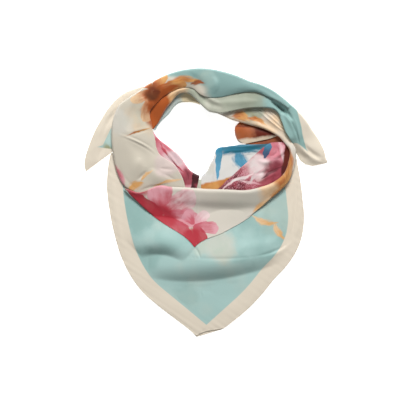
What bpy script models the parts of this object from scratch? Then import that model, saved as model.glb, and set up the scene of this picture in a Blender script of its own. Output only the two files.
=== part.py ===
"""Square scarf, folded on the diagonal into a triangle, wound into a ring and laid flat.

Every stretch of the cloth that shows is one wall. It is lofted through a short table of
sections, and a section runs from the edge nearer the neck opening to the edge farther from it.
Sizes below are millimetres and degrees, and become metres when a mesh is made. Angles turn
about the middle of the neck opening, with 0 to the right and 90 at the back of the ring.
"""

import math
from collections import namedtuple

import bpy
import numpy as np

MM = 0.001
OPENING = (-10.0, 108.7)  # middle of the neck opening
# How far in from its inner and its outer edge the cloth starts to turn down.
RIMS = (5.0, 5.0)
LIP_RIMS = (8.0, 5.0)  # the cowl, whose lip is the rounder edge
ROLL_RIMS = (5.0, 10.0)  # the band whose outer edge rolls over down to the surface
RIDGE_SPOTS = 25  # places along a fold that distances are measured from
FOLD_START = 0.08  # where in its rise a fold begins and ends, as a share of half a wave
FOLD_EASE = 0.7  # below 1 a fold keeps its height nearer to its ends
RIM_SHARE = 0.45  # of a section's width, the most that one turned rim takes
WALL = 1.5  # two leaves of satin and the air between them
THIN_WALL = 1.3
LEAF = 1.2
SEAM_GAP = 0.3
PER_ROW = 2  # sections lofted for each row of a table
LEAF_TOP = 3.2  # top of the front point where it lies flat on its under leaf
V_ANGLE = 267.0  # where the drape's lower edge comes to its point
V_DEPTH = 22.0
V_SPREAD = 5.5  # degrees

DUCK_EGG = (0.36, 0.53, 0.51)
CREAM = (0.75, 0.67, 0.56)
ROSE = (0.56, 0.12, 0.17)
RUST = (0.52, 0.20, 0.07)
PALE_GREEN = (0.60, 0.62, 0.51)
TEAL = (0.12, 0.36, 0.48)
PLUM = (0.30, 0.06, 0.10)

# A section: both edges' angles and distances from the middle of the opening, the heights of
# the cloth's edge and of the shoulder above it at each, and how far the middle swells up.
Section = namedtuple(
    "Section", "in_deg in_r in_edge in_top out_deg out_r out_edge out_top crown"
)
# A fold: a soft ridge along a curve through three places, with its half width and its rise.
Fold = namedtuple("Fold", "x0 y0 xm ym x1 y1 width rise")

# One band of cloth: across the front, then up the right side and under the crown.
FRONT_TO_RIGHT = [
    (213.7, 153.2, 10, 10.8, 212.5, 156.6, 5.5, 10, 0),
    (216.5, 148, 10.8, 12.8, 214.5, 156, 5.5, 10, 0.6),
    (221.4, 137.8, 12.6, 15.6, 218.5, 155, 5.5, 10.2, 1.2),
    (227.6, 107.2, 14, 18.4, 226, 153.5, 5.5, 10.4, 1.5),
    (238, 96, 14.5, 20.5, 237, 155, 5.4, 10.2, 0.5),
    (247, 89, 14.5, 22, 248, 158.5, 5.4, 9.4, -1),
    (256, 85, 14.5, 22.5, 257, 162, 5.4, 8.6, -2),
    (264, 84, 14.5, 22.5, 263, 164, 5.4, 8, -2.6),
    (269, 84, 14.5, 22.5, 267, 165, 5.4, 7.6, -2.8),
    (275, 85, 14.5, 22.5, 273, 166, 5.4, 7.8, -2.8),
    (284, 88, 14.5, 22.5, 281, 166, 5.4, 8.2, -2.6),
    (293, 93, 14.5, 22.5, 291, 162, 5.4, 8.8, -2.2),
    (303, 103, 14, 22, 300, 160, 5.4, 9.8, -1.6),
    (313, 119, 13.5, 21.5, 310, 158.5, 5.4, 11.2, -0.6),
    (322, 133, 13, 21, 320, 160.5, 5.4, 12.8, 1),
    (330, 147, 12.5, 20, 328, 166, 5.4, 14, 2),
    (338, 157, 12, 19, 336, 171, 5, 15, 2),
    (346, 158.5, 12, 19, 345, 170.5, 5, 16, 2),
    (353, 157, 12, 19, 354, 169, 5, 17, 2),
    (358, 147, 12.3, 17.5, 0, 160, 13, 16, 1),
    (2.6, 136.6, 12.3, 17, 5, 157, 16, 16, 0.5),
    (9, 115.5, 12.3, 17, 12, 152, 16.5, 16.5, 0.5),
    (18, 88, 12.3, 17, 22, 149, 17, 17, 0.5),
    (30, 68, 11.5, 16.5, 35, 140, 17, 17, 0.5),
    (42, 60, 11, 15.5, 46, 115, 15.5, 15.5, 0),
    (54, 56, 10, 13, 56, 95, 13.5, 13.5, 0),
    (63, 55.5, 9, 11, 64, 88, 11.5, 11.5, 0),
]
RIGHT_SIDE_STARTS = 18  # the row of that table where the cowl ends and the right side starts
# One band of cloth: up the left side from under the cowl's lip, then over the crown.
LEFT_TO_CROWN = [
    (256, 95, 11.4, 11.6, 222, 140, 8.2, 8.4, 0),
    (249, 78, 11.5, 13, 216.5, 149, 6.4, 8.2, 1),
    (240, 68, 12, 14.5, 212, 154, 5, 8.2, 2),
    (225, 62, 12.5, 15.5, 207, 155.8, 5, 8.6, 3),
    (212, 66, 13, 15.5, 201.5, 155.6, 5, 9.2, 4),
    (200, 74, 13, 15.5, 195, 154.5, 5, 10.2, 5),
    (190, 77, 13, 15.5, 188, 154, 5.5, 11.5, 5),
    (180, 78, 13, 15.5, 179, 155, 6, 13, 5),
    (170, 83, 13, 15.5, 168, 156, 6, 14.5, 5),
    (161, 89, 13, 16, 157, 154.5, 6, 16.5, 5),
    (156, 95, 13.5, 17.5, 149.5, 146, 6, 18.8, 5),
    (150, 100, 14.5, 20, 142, 138, 6, 21.5, 4.5),
    (140, 98, 18.5, 22.5, 134, 134, 5, 24.5, 4.5),
    (130, 98, 21.3, 24.5, 127, 131, 3, 26.5, 4),
    (118, 96, 22.8, 25.2, 117, 128.5, 2, 28, 3.5),
    (108, 95.5, 22.8, 25.2, 107, 127, 2, 29, 3.5),
    (98, 90, 22.6, 25, 98, 126, 2, 29, 3.5),
    (90, 79, 22.2, 24.6, 90, 126, 2, 29, 3.5),
    (80, 75, 22, 24.4, 80, 126, 2, 29, 3.5),
    (70, 78, 22, 24.4, 70, 127, 2, 29, 3.5),
    (60, 87, 22.8, 25.2, 60, 130, 2, 29.5, 3.5),
    (50, 106, 24.6, 27, 50, 135, 2, 30, 3),
    (40, 128, 26, 28.4, 41, 146, 2, 30, 2),
    (32, 139.5, 27.4, 29.6, 33.5, 155.5, 2, 30, 2),
    (26, 150.5, 28.6, 30.5, 28, 162, 2, 29.5, 1.5),
    (19.7, 162.5, 29, 30.5, 22.2, 169.7, 2, 28.5, 1),
]
CROWN_STARTS = 11  # the row of that table where the left side ends and the crown starts
CROWN_LOWER_FOLD = [
    (167, 84, 9.8, 11.4, 160, 103, 11.4, 11.4, 0),
    (158, 79, 10, 12, 152, 106, 11.8, 11.8, 0),
    (148, 78.5, 10.5, 15, 144, 107, 13, 13, 1.5),
    (138, 80, 11, 18, 136, 107, 15, 15, 2),
    (126, 83, 11.3, 19.5, 126, 106, 16, 16, 2),
    (114, 88.5, 11.5, 20, 114, 105, 16.5, 16.5, 2),
    (104, 83, 11.5, 20, 105, 104, 16.5, 16.5, 2),
    (95, 70, 11.5, 20, 97, 98, 16.5, 16.5, 2),
    (85, 58.5, 12, 20, 86, 86, 17, 17, 1),
    (73, 52, 13, 20.5, 74, 86, 17.5, 17.5, 1),
    (60, 54, 15.3, 21.5, 62, 94, 19, 19, 1),
    (50, 60, 17.3, 22.5, 52, 111, 20.5, 20.5, 1),
    (40, 79, 18.8, 24, 43, 132, 22, 22, 1),
    (31, 107, 19.5, 25, 35, 146.5, 23, 23, 1),
    (23, 137, 19.8, 25.5, 28, 155.5, 25, 25, 0.5),
    (17.1, 144.4, 19.8, 25, 21.4, 165, 26.8, 26.8, 0.5),
]
RIGHT_TAIL = [
    (16.6, 144, 19.8, 25, 22, 169.9, 2, 28, 1.5),
    (10.4, 146, 19.5, 24.5, 15, 182, 1.5, 22, 3),
    (5.5, 150, 19.5, 23.5, 9, 192, 1.5, 14, 3),
    (1.3, 158, 19.5, 22, 5, 198, 1.5, 8, 2),
    (-1, 163.5, 12, 17, 1, 206.5, 1.5, 4, 2),
    (-3.5, 165, 3, 10, -4.6, 217.7, 1.5, 3, 4),
    (-6, 167.5, 1.5, 5, -8, 222.5, 1.5, 2.5, 4),
    (-8.5, 172, 1.5, 2.5, -9.8, 226, 1.5, 1.8, 2),
    (-11.2, 178.5, 1.5, 1.8, -11.3, 215, 1.5, 1.5, 1),
    (-12.8, 188.5, 1.5, 1.5, -12.9, 202, 1.5, 1.5, 0),
]
LEFT_TAIL = [
    (185, 143, 1.5, 3, 195.3, 207, 1.5, 1.5, 2),
    (181, 143, 3, 3, 191.5, 206.5, 1.5, 1.5, 3),
    (176, 143, 3.5, 3.5, 187, 201, 1.5, 1.5, 3),
    (171, 143, 3.5, 3.5, 181.5, 193, 1.5, 2, 3),
    (166, 143, 3.5, 3.5, 175, 185, 1.5, 3, 3),
    (161, 143, 3.5, 3.5, 168, 177, 1.5, 4, 2),
    (156, 143, 3.5, 3.5, 160, 169.5, 1.5, 4, 2),
    (151, 141, 3.5, 3.5, 153, 162.5, 1.5, 4, 1),
    (146, 136, 3.5, 3.5, 146.5, 154, 1.5, 4, 0.5),
    (142, 132, 3.5, 3.5, 140.5, 143.5, 1.5, 3.5, 0),
    (138, 129, 3, 3.5, 136, 137, 1.5, 3, 0),
]
UNDER_BAND = [
    (168, 80, 1.6, 8.5, 164, 98, 8.5, 8.5, 0),
    (155, 75.5, 1.6, 8.6, 154, 100, 8.6, 8.6, 0),
    (140, 71, 1.6, 8.8, 140, 100, 8.8, 8.8, 0),
    (122, 74.5, 1.6, 8.8, 124, 100, 8.8, 8.8, 0),
    (108, 70, 1.6, 8.8, 109, 98, 8.8, 8.8, 0),
    (98, 66, 1.6, 8.8, 99, 90, 8.8, 8.8, 0),
    (90, 62, 1.6, 8.6, 91, 80, 8.6, 8.6, 0),
]
INNER_STRIP = [
    (170, 82, 1.6, 8.5, 167, 96, 8.8, 8.8, 0),
    (178, 72, 1.6, 8.5, 177, 90, 9, 9, 0),
    (188.6, 58.4, 1.6, 8.5, 188, 86, 9, 9, 0),
    (204, 47.8, 1.6, 8.5, 202, 83, 9, 9, 0),
    (222, 44.6, 1.6, 8.5, 216, 75, 9, 9, 0),
    (237, 48, 1.6, 8.5, 229, 72, 9, 9, 0),
    (251, 54.5, 1.6, 8.5, 243, 80, 9, 9, 0),
    (260, 58, 1.6, 8.5, 253, 92, 9, 9, 0),
    (269.5, 61.5, 1.6, 8.5, 265, 94, 9, 9, 0),
]
INNER_FLAP = [
    (272, 63, 1.6, 8.1, 271, 92, 8.1, 8.1, 0),
    (281, 56, 1.6, 8.1, 281, 94, 8.1, 8.1, 0),
    (292, 45.5, 1.6, 8.1, 292, 98, 8.1, 8.1, 0),
    (305, 39, 1.6, 8.1, 305, 93, 8.1, 8.1, 0),
    (320, 34, 1.6, 8.1, 318, 93, 8.1, 8.1, 0),
    (331, 32.5, 1.6, 8.1, 330, 97, 8.1, 8.1, 0),
    (341, 37, 1.6, 8.1, 341, 104, 8.1, 8.1, 0),
    (349, 52, 1.6, 8.1, 350, 113, 8.1, 8.1, 0),
    (353.8, 71, 1.6, 8.1, 357, 122, 8.1, 8.1, 0),
]
INNER_LINING = [
    (287, 92, 9.8, 10, 287, 100, 10, 10, 0),
    (296, 88, 9.8, 10.2, 295, 106, 10.2, 10.2, 0),
    (304, 84, 9.8, 10.4, 304, 114, 10.4, 10.4, 0.3),
    (315, 84, 9.8, 10.4, 314, 130, 10.4, 10.4, 0.6),
    (325, 85.4, 9.8, 10.4, 323, 144, 10.4, 10.4, 0.8),
    (334, 90, 9.8, 10.4, 333, 155, 10.4, 10.4, 0.8),
    (342, 95.7, 9.8, 10.4, 342, 161, 10.4, 10.4, 0.8),
    (349, 104, 9.8, 10.4, 348, 161, 10.4, 10.4, 0.8),
    (355, 114, 9.8, 10.4, 354, 158, 10.4, 10.4, 0.5),
    (358, 124, 9.8, 10.2, 359, 150, 10.2, 10.2, 0.3),
]
# The roll lies along its own axis, so its sections run across it, from its front to its back.
INNER_ROLL = [
    (8, 62, 2, 5, 16, 62.5, 2, 5, 1),
    (359, 66, 2, 7.5, 22, 67, 2, 7.5, 2.5),
    (355.5, 75, 8.3, 8.5, 25, 80, 8.3, 8.5, 3),
    (357.5, 90, 8.3, 8.5, 20, 95, 8.3, 8.5, 3),
    (359.5, 105, 8.3, 8.5, 13, 110, 8.3, 8.5, 2.5),
    (1, 120, 8.3, 8.5, 8.5, 122, 8.3, 8.5, 2),
    (3, 134, 8.3, 8.5, 5.5, 134, 8.3, 8.5, 1.5),
]
# The front point's outline, and the radius at which its leaves end under the ring.
PointRow = namedtuple("PointRow", "deg in_r out_r")
FRONT_POINT = [
    (188.3, 143, 157.2),
    (190, 143, 160),
    (195, 143, 166),
    (201, 143, 173.8),
    (207, 143, 182.8),
    (213, 143, 191.8),
    (220, 143, 204.5),
    (228, 143, 223),
    (236, 143, 246),
    (243, 143, 266.5),
    (249, 143, 283),
    (255, 143, 296.5),
    (261, 143, 312),
    (265, 143, 325),
    (267, 143, 332.8),
    (268.3, 143, 338.8),
    (269, 143, 341.5),
    (269.9, 143, 338.5),
    (272, 143, 334.2),
    (274.7, 143, 332.4),
    (277.3, 143, 330.6),
    (281, 143, 320),
    (286, 143, 306.2),
    (292, 143, 290),
    (298, 143, 275.5),
    (304, 143, 267.5),
    (310, 145, 258.5),
    (316, 148, 246.5),
    (323, 152, 228),
    (330, 158, 207.5),
    (337, 163, 191.5),
    (345, 163, 177.5),
    (353, 162.5, 168),
]
FRONT_ACROSS = 9
HEM_CALM = 1.6  # folds start to fade at 1 / 1.6 of the way to the hem
UNDER_LEAF_ACROSS = 3
UNDER_LEAF_INSET = 1.5
# Where the under leaf shows past the upper one, at the tip: its radius at some of those rows.
UNDER_LEAF_TIP = {268.3: 339.6, 269: 343.4, 269.9: 342.3, 272: 338.9, 274.7: 335, 277.3: 331.2}
FRONT_FOLDS = [
    (-92, -120, 12, -108, 134, -80, 18, 8.5),
    (-124, -86, -82, -70, -26, -93, 14, 6.5),
]
COWL_FOLDS = [
    (-62, 2, 30, -11, 106, -8, 10, -3),
]
CROWN_FOLDS = [
    (-10, 224, 60, 208, 118, 170, 9, -2),
    (-150, 130, -115, 125, -80, 128, 8, -2),
]
# The valley where the crown's two folds run together, which three pieces share.
VALLEY_FOLDS = [
    (114, 176, 139, 158, 158, 120, 7, -4),
]
# How far in and out the hidden layers reach, in even turns round the opening from 0 degrees.
HiddenRow = namedtuple("HiddenRow", "in_r out_r")
HIDDEN_LAYERS = [
    (86, 148),
    (83, 141),
    (84, 142),
    (68, 132),
    (60, 122),
    (59, 118),
    (69, 118),
    (75, 118),
    (81, 120),
    (78, 124),
    (80, 132),
    (86, 138),
    (76, 139),
    (60, 139),
    (52, 139),
    (51, 139),
    (56, 139),
    (62, 139),
    (67, 139),
    (58, 139),
    (48, 139),
    (44, 143),
    (43, 152),
    (60, 158),
]
HIDDEN_SECTIONS = 44
# The layered edge of the hidden solid, as steps in from the edge and up from the floor.
LayerStep = namedtuple("LayerStep", "inset rise")
LAYER_STEPS = [(0.0, 0.0), (0.0, 2.0), (1.6, 2.3), (2.0, 4.4), (6.0, 6.4)]


def spline(table, count, closed=False):
    """The table's rows, resampled to count rows on a Catmull-Rom curve through them."""
    rows = np.array(table, float)
    last = len(rows) if closed else len(rows) - 1
    places = np.linspace(0, last, count, endpoint=not closed)
    spots = np.minimum(places.astype(int), last - 1)
    share = (places - spots)[:, None]

    def row(index):
        return rows[index % len(rows) if closed else np.clip(index, 0, len(rows) - 1)]

    before, here, ahead, after = (row(spots + step) for step in (-1, 0, 1, 2))
    return 0.5 * (
        2 * here
        + (ahead - before) * share
        + (2 * before - 5 * here + 4 * ahead - after) * share**2
        + (3 * here - before - 3 * ahead + after) * share**3
    )


def polar(degrees, radius):
    """The place at an angle and a distance from the middle of the opening."""
    turn = np.radians(degrees)
    return np.stack(
        [OPENING[0] + radius * np.cos(turn), OPENING[1] + radius * np.sin(turn)], -1
    )


def unwrapped(table):
    """The table with each angle column made free of jumps past 360."""
    rows = np.array(table, float)
    for column in [0, 4] if rows.shape[1] > 4 else [0]:
        rows[:, column] = np.degrees(np.unwrap(np.radians(rows[:, column])))
    return rows


def rolloff(distance, width):
    """How far down its rim the cloth has turned: 1 at the edge, 0 from width inwards."""
    share = np.clip(distance / width, 0, 1)
    return 1 - np.sqrt(np.clip(1 - (1 - share) ** 2, 0, 1))


def ridge(place, fold):
    """The rise that one fold gives at each place: a soft ridge that fades at its ends."""
    fold = Fold(*fold)
    share = np.linspace(0, 1, RIDGE_SPOTS)[:, None]
    ends = np.array([(fold.x0, fold.y0), (fold.xm, fold.ym), (fold.x1, fold.y1)])
    line = (
        ends[0] * (1 - share) * (1 - 2 * share)
        + ends[1] * 4 * share * (1 - share)
        + ends[2] * share * (2 * share - 1)
    )
    away = np.linalg.norm(place[..., None, :] - line, axis=-1)
    near = away.argmin(-1)
    run = near / (RIDGE_SPOTS - 1)
    fade = np.sin(math.pi * (FOLD_START + (1 - 2 * FOLD_START) * run)) ** FOLD_EASE
    return fold.rise * fade * np.exp(-((away.min(-1) / fold.width) ** 2))


def shares_across(width, rims, steps):
    """Where the points of each section lie, from 0 to 1: close together round the rims."""
    inner, middle, outer = steps
    turn = np.linspace(0, math.pi / 2, inner + 1)[None, :]
    back = np.linspace(math.pi / 2, 0, outer + 1)[None, :]
    near = (rims[0] / width) * (1 - np.cos(turn))
    far = 1 - (rims[1] / width) * (1 - np.cos(back))
    between = np.linspace(0, 1, middle + 1)[None, 1:-1]
    between = near[:, -1:] * (1 - between) + far[:, :1] * between
    return np.concatenate([near, between, far], axis=1)


def fan(table, steps, rims=RIMS, folds=(), v_depth=0.0, shared=()):
    """A grid of points through a table of sections, with both rims turned down.

    The outer edge may be drawn out by v_depth into a V. Folds die out towards both rims, and
    shared ones don't, so that pieces on each other follow them alike."""
    sections = (len(table) - 1) * PER_ROW + 1
    s = Section(*spline(unwrapped(table), sections).T)
    reach = v_depth * np.exp(-np.abs(s.out_deg - V_ANGLE) / V_SPREAD)
    inner = polar(s.in_deg, s.in_r)
    outer = polar(s.out_deg, s.out_r + reach)
    width = np.linalg.norm(outer - inner, axis=1)[:, None]
    rims = [np.minimum(rim, width * RIM_SHARE) for rim in rims]
    share = shares_across(width, rims, steps)
    height = (
        s.in_top[:, None] * (1 - share)
        + s.out_top[:, None] * share
        + s.crown[:, None] * np.sin(math.pi * share)
        - (s.in_top - s.in_edge)[:, None] * rolloff(share * width, rims[0])
        - (s.out_top - s.out_edge)[:, None] * rolloff((1 - share) * width, rims[1])
    )
    place = inner[:, None] * (1 - share[..., None]) + outer[:, None] * share[..., None]
    for fold in folds:
        height += ridge(place, fold) * np.sin(math.pi * share)
    for fold in shared:
        height += ridge(place, fold)
    return np.concatenate([place, height[..., None]], axis=2)


def normals(grid):
    """The grid's normals, pointing up on the whole."""
    normal = np.cross(np.gradient(grid, axis=0), np.gradient(grid, axis=1))
    normal /= np.linalg.norm(normal, axis=2, keepdims=True)
    return normal * np.sign(normal[..., 2].sum())


def wall(grid, thickness, normal=None):
    """A closed wall: the grid is its outer face, and thickness is inwards from it."""
    back = grid - (normals(grid) if normal is None else normal) * thickness
    rows, columns = grid.shape[:2]
    points = np.concatenate([grid.reshape(-1, 3), back.reshape(-1, 3)])

    def at(row, column, side):
        return side * rows * columns + row * columns + column

    faces = []
    for i in range(rows - 1):
        for j in range(columns - 1):
            faces.append((at(i, j, 0), at(i + 1, j, 0), at(i + 1, j + 1, 0), at(i, j + 1, 0)))
            faces.append((at(i, j, 1), at(i, j + 1, 1), at(i + 1, j + 1, 1), at(i + 1, j, 1)))
    for i in range(rows - 1):
        faces.append((at(i, 0, 0), at(i, 0, 1), at(i + 1, 0, 1), at(i + 1, 0, 0)))
        far = columns - 1
        faces.append((at(i + 1, far, 0), at(i + 1, far, 1), at(i, far, 1), at(i, far, 0)))
    for j in range(columns - 1):
        faces.append((at(0, j + 1, 0), at(0, j + 1, 1), at(0, j, 1), at(0, j, 0)))
        far = rows - 1
        faces.append((at(far, j, 0), at(far, j, 1), at(far, j + 1, 1), at(far, j + 1, 0)))
    return points, faces


def material(name, colour):
    """Plain satin of one colour."""
    made = bpy.data.materials.new(name)
    made.use_nodes = True
    shader = made.node_tree.nodes["Principled BSDF"]
    shader.inputs["Base Color"].default_value = (*colour, 1)
    shader.inputs["Roughness"].default_value = 0.45
    shader.inputs["Metallic"].default_value = 0
    return made


def piece(name, points, faces, colour):
    """One object from points in millimetres, facing out."""
    mesh = bpy.data.meshes.new(name)
    mesh.from_pydata([tuple(p) for p in np.asarray(points) * MM], [], faces)
    mesh.validate()
    if volume(points, faces) < 0:
        mesh.flip_normals()
    mesh.shade_smooth()
    mesh.materials.append(material(name, colour))
    made = bpy.data.objects.new(name, mesh)
    bpy.context.scene.collection.objects.link(made)
    return made


def volume(points, faces):
    """Six times the volume that the faces close in: below 0 if they face inwards."""
    points = np.asarray(points)
    total = 0.0
    for face in faces:
        for k in range(1, len(face) - 1):
            a, b, c = points[face[0]], points[face[k]], points[face[k + 1]]
            total += float(np.dot(a, np.cross(b, c)))
    return total


def two_stretches(names, colours, grid, start):
    """One band of cloth as two walls, which meet at section start with the seam gap."""
    normal = normals(grid)
    piece(names[0], *wall(grid[: start + 1], WALL, normal[: start + 1]), colours[0])
    rest = grid[start:].copy()
    step = rest[1] - rest[0]
    rest[0] += step / np.linalg.norm(step, axis=1, keepdims=True) * SEAM_GAP
    piece(names[1], *wall(rest, WALL, normal[start:]), colours[1])


def point_grid(table, across):
    """Flat places over the front point, from its hidden edge out to its hem."""
    rows = PointRow(*np.array(table, float).T)
    inner = polar(rows.deg, rows.in_r)
    outer = polar(rows.deg, rows.out_r)
    share = np.linspace(0, 1, across)[None, :, None]
    return inner[:, None] * (1 - share) + outer[:, None] * share


def make_front_point():
    """The upper leaf, with its swags, over the under leaf, flat on the floor."""
    place = point_grid(FRONT_POINT, FRONT_ACROSS)
    rise = sum(ridge(place, fold) for fold in FRONT_FOLDS)
    calm = np.minimum(1, np.linspace(HEM_CALM, 0, FRONT_ACROSS))[None, :]
    height = LEAF_TOP + rise * calm
    upper = np.concatenate([place, height[..., None]], axis=2)
    piece("front_point", *wall(upper, WALL), DUCK_EGG)

    rows = []
    for row in FRONT_POINT:
        r = PointRow(*row)
        rows.append(r._replace(out_r=UNDER_LEAF_TIP.get(r.deg, r.out_r - UNDER_LEAF_INSET)))
    place = point_grid(rows, UNDER_LEAF_ACROSS)
    height = np.full((*place.shape[:2], 1), LEAF)
    under = np.concatenate([place, height], axis=2)
    piece("front_point_under_leaf", *wall(under, LEAF), CREAM)


def make_hidden_layers():
    """One rounded solid all round the opening, with steps at both edges."""
    rows = HiddenRow(*spline(HIDDEN_LAYERS, HIDDEN_SECTIONS, closed=True).T)
    degrees = np.linspace(0, 360, HIDDEN_SECTIONS, endpoint=False)
    steps = [LayerStep(*step) for step in LAYER_STEPS]
    lines = [(polar(degrees, rows.in_r + step.inset), step.rise) for step in steps]
    lines += [(polar(degrees, rows.out_r - step.inset), step.rise) for step in reversed(steps)]
    level = np.ones((HIDDEN_SECTIONS, 1))
    grid = np.stack([np.hstack([place, level * rise]) for place, rise in lines], axis=1)
    around = len(lines)
    faces = []
    for i in range(HIDDEN_SECTIONS):
        for j in range(around):
            here, ahead = i * around, (i + 1) % HIDDEN_SECTIONS * around
            after = (j + 1) % around
            faces.append((here + j, ahead + j, ahead + after, here + after))
    piece("hidden_layers", grid.reshape(-1, 3), faces, PALE_GREEN)


def clear_scene():
    """Nothing but the scarf is left in the scene."""
    for old in list(bpy.data.objects):
        bpy.data.objects.remove(old, do_unlink=True)


clear_scene()
make_hidden_layers()
make_front_point()
two_stretches(
    ("front_cowl", "right_side"),
    (CREAM, RUST),
    fan(FRONT_TO_RIGHT, (2, 3, 2), LIP_RIMS, COWL_FOLDS, V_DEPTH),
    PER_ROW * RIGHT_SIDE_STARTS,
)
two_stretches(
    ("left_side", "crown_upper_fold"),
    (CREAM, DUCK_EGG),
    fan(LEFT_TO_CROWN, (2, 3, 3), ROLL_RIMS, CROWN_FOLDS, shared=VALLEY_FOLDS),
    PER_ROW * CROWN_STARTS,
)
piece("crown_lower_fold", *wall(fan(CROWN_LOWER_FOLD, (2, 2, 1), shared=VALLEY_FOLDS), WALL), PALE_GREEN)
piece("right_tail", *wall(fan(RIGHT_TAIL, (2, 4, 2), ROLL_RIMS, shared=VALLEY_FOLDS), WALL), CREAM)
piece("left_tail", *wall(fan(LEFT_TAIL, (1, 3, 2)), WALL), CREAM)
piece("under_band", *wall(fan(UNDER_BAND, (3, 1, 1)), THIN_WALL), DUCK_EGG)
piece("inner_strip", *wall(fan(INNER_STRIP, (3, 1, 1)), THIN_WALL), ROSE)
piece("inner_flap", *wall(fan(INNER_FLAP, (3, 2, 1)), LEAF), TEAL)
piece("inner_lining", *wall(fan(INNER_LINING, (1, 3, 1)), LEAF), PLUM)
piece("inner_roll", *wall(fan(INNER_ROLL, (2, 3, 2)), LEAF), RUST)
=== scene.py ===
"""Square scarf laid flat in a ring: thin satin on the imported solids' forms, with its print.

Sizes in the tables are millimetres and degrees, and become metres when a mesh is made. Angles
turn about the middle of the neck opening, with 0 to the right and 90 at the back of the ring.
"""

import math
from collections import namedtuple

import bpy
import numpy as np
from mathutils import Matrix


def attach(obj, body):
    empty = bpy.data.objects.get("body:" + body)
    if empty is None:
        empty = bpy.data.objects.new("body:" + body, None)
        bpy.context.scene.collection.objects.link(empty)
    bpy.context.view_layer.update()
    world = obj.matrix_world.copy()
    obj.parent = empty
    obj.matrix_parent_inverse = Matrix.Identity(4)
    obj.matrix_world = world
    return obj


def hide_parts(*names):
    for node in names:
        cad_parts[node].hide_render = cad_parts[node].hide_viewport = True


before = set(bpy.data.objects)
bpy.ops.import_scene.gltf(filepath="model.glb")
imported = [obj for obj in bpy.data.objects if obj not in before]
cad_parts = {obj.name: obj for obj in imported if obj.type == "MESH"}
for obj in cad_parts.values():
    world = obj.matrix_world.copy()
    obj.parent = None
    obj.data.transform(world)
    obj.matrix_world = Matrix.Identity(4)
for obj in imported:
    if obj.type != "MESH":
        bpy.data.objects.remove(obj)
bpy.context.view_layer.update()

MM = 0.001
OPENING = (-10.0, 108.7)  # middle of the neck opening
# How far in from its inner and its outer edge the cloth starts to turn down.
RIMS = (3.0, 3.5)
LIP_RIMS = (8.0, 2.1)  # the cowl, whose lip is the rounder edge
ROLL_RIMS = (1.4, 4.2)  # the band whose outer edge rolls over down to the surface
RIM_SHARE = 0.45  # of a section's width, the most that one turned rim takes
LEAF = 0.8  # one leaf of satin as it is shown
LEAF_GAP = 0.3  # between the cowl and the front point that it lies on
FINE = 1.5  # spacing of the sections in the fine meshes
CLOTH_CREASE = 55  # degrees between faces, above which a mesh shows a sharp edge
STACK_CREASE = 50
RESTING = 4.6  # how low an edge can settle
SETTLED_BY = 0.2  # of a band's length from each end, where thin cloth has settled
CALM = 0.6  # the power of a sine across a section, by which folds die out towards its rims

BORDER = 28.0  # plain border inside the hem
HEM_ROLL = 1.8  # width of the rolled hem
HEM_BEAD = 0.5  # how much thicker than one leaf the rolled hem is
FLAT_HEM = 30.0  # how far in from the front hem the folds start to die out
HEM_CALM = 1.4  # the power by which they do
HEM_SPOTS = [3.2, 2.4, 1.8, 1.5, 1.1, 0.7, 0.35, 0.0]  # places close to the hem, in from it
INNER_SPOTS = 4.5  # how far in from the hem the even places end
PUCKER_RISE = 0.3
PUCKER_REACH = 14.0  # how far in from the hem they fade

LEAF_TOP = 3.2  # height of the front point's upper leaf where it lies flat
LOWEST_LEAF = 2.3  # the lowest that its troughs come
SAG = 0.4  # how much lower it lies away from its hem
EDGE_DROP = 0.8  # how far its edge turns down
EDGE_REACH = 5.0  # over what width
BEAD_ABOVE = 0.4  # how much of the bead's extra thickness stands above the leaf
POINT_MESH = (380, 78)  # rows and columns of its even places
UNDER_MESH = (320, 40)
UNDER_TOP = 0.95  # height of the under leaf
UNDER_INSET = 1.5  # how far in from the upper leaf's edge the under leaf ends
UNDER_THIN = 0.75  # its thickness, as a share of the upper leaf's
UNDER_PUCKERS = 0.15  # how strong its puckers are, as a share of the upper leaf's
UNDER_FLAT = 2  # how far in from its hem they start
UNDER_BEAD = 0.45
FLOOR_GAP = 0.02  # the least that its underside is above the surface
POINT_CORNER = (2.0, -251.0)  # where the two front hems would meet, before the tip is turned
LEFT_HEM_ENDS = 258  # the angle where the left front hem ends at the tip
RIGHT_HEM_STARTS = 284
V_ANGLE = 267.0  # where the drape's lower edge comes to its point
V_DEPTH = 22.0
V_SPREAD = 5.5  # degrees

FOLD_SPOTS = 21  # the places first tried along a fold's line
FOLD_REACH = 5  # how far a fold is felt, in widths
FOLD_STEPS = 4  # from the nearest of the places to the nearest point of the line
FOLD_FADE = 0.8  # the power by which a fold's rise fades towards its ends
FOLD_TAPER = 0.7  # the power by which its width does
END_WIDTH = 0.35  # of its width, what it keeps at its ends
PUFF_WIDTH = 0.25  # what a puff of 1 adds to that
SHOULDER = 2.4  # how much farther than a ridge the other side of a pillow runs out
PILLOW = 1.3  # how far out a pillow's crease lies, in widths of its fold
PILLOW_POWER = 1.3  # how full it is
WAVES = 7  # crossing waves in one unevenness
WAVE_SIZES = (0.6, 1.8)  # the shortest and the longest, in lengths
WAVE_BEND = 5  # how far their lines bend to each side
BEND_LENGTH = 37.0
VALLEY_TRIES = 101  # places tried across a section for its meeting with the valley
VALLEY_SMOOTHED = 6  # sections on each side, over which that place is averaged
COARSE = 200  # sections along which a band's length is measured

STACK_TOP = 6.4
STACK_LEAVES = 5
STACK_SECTIONS = 360
# A leaf's edge in section: how far in it lies, and how high, in leaves and then in millimetres.
STACK_EDGE = [(1.3, 0, 0), (0.25, 0, 0.12), (0, 0.45, 0), (0.25, 1, -0.2)]


def srgb(red, green, blue):
    """A colour as seen, from 0 to 255, as the linear one that a shader takes."""
    shares = [c / 255 for c in (red, green, blue)]
    linear = [c / 12.92 if c <= 0.04045 else ((c + 0.055) / 1.055) ** 2.4 for c in shares]
    return (*linear, 1.0)


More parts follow.
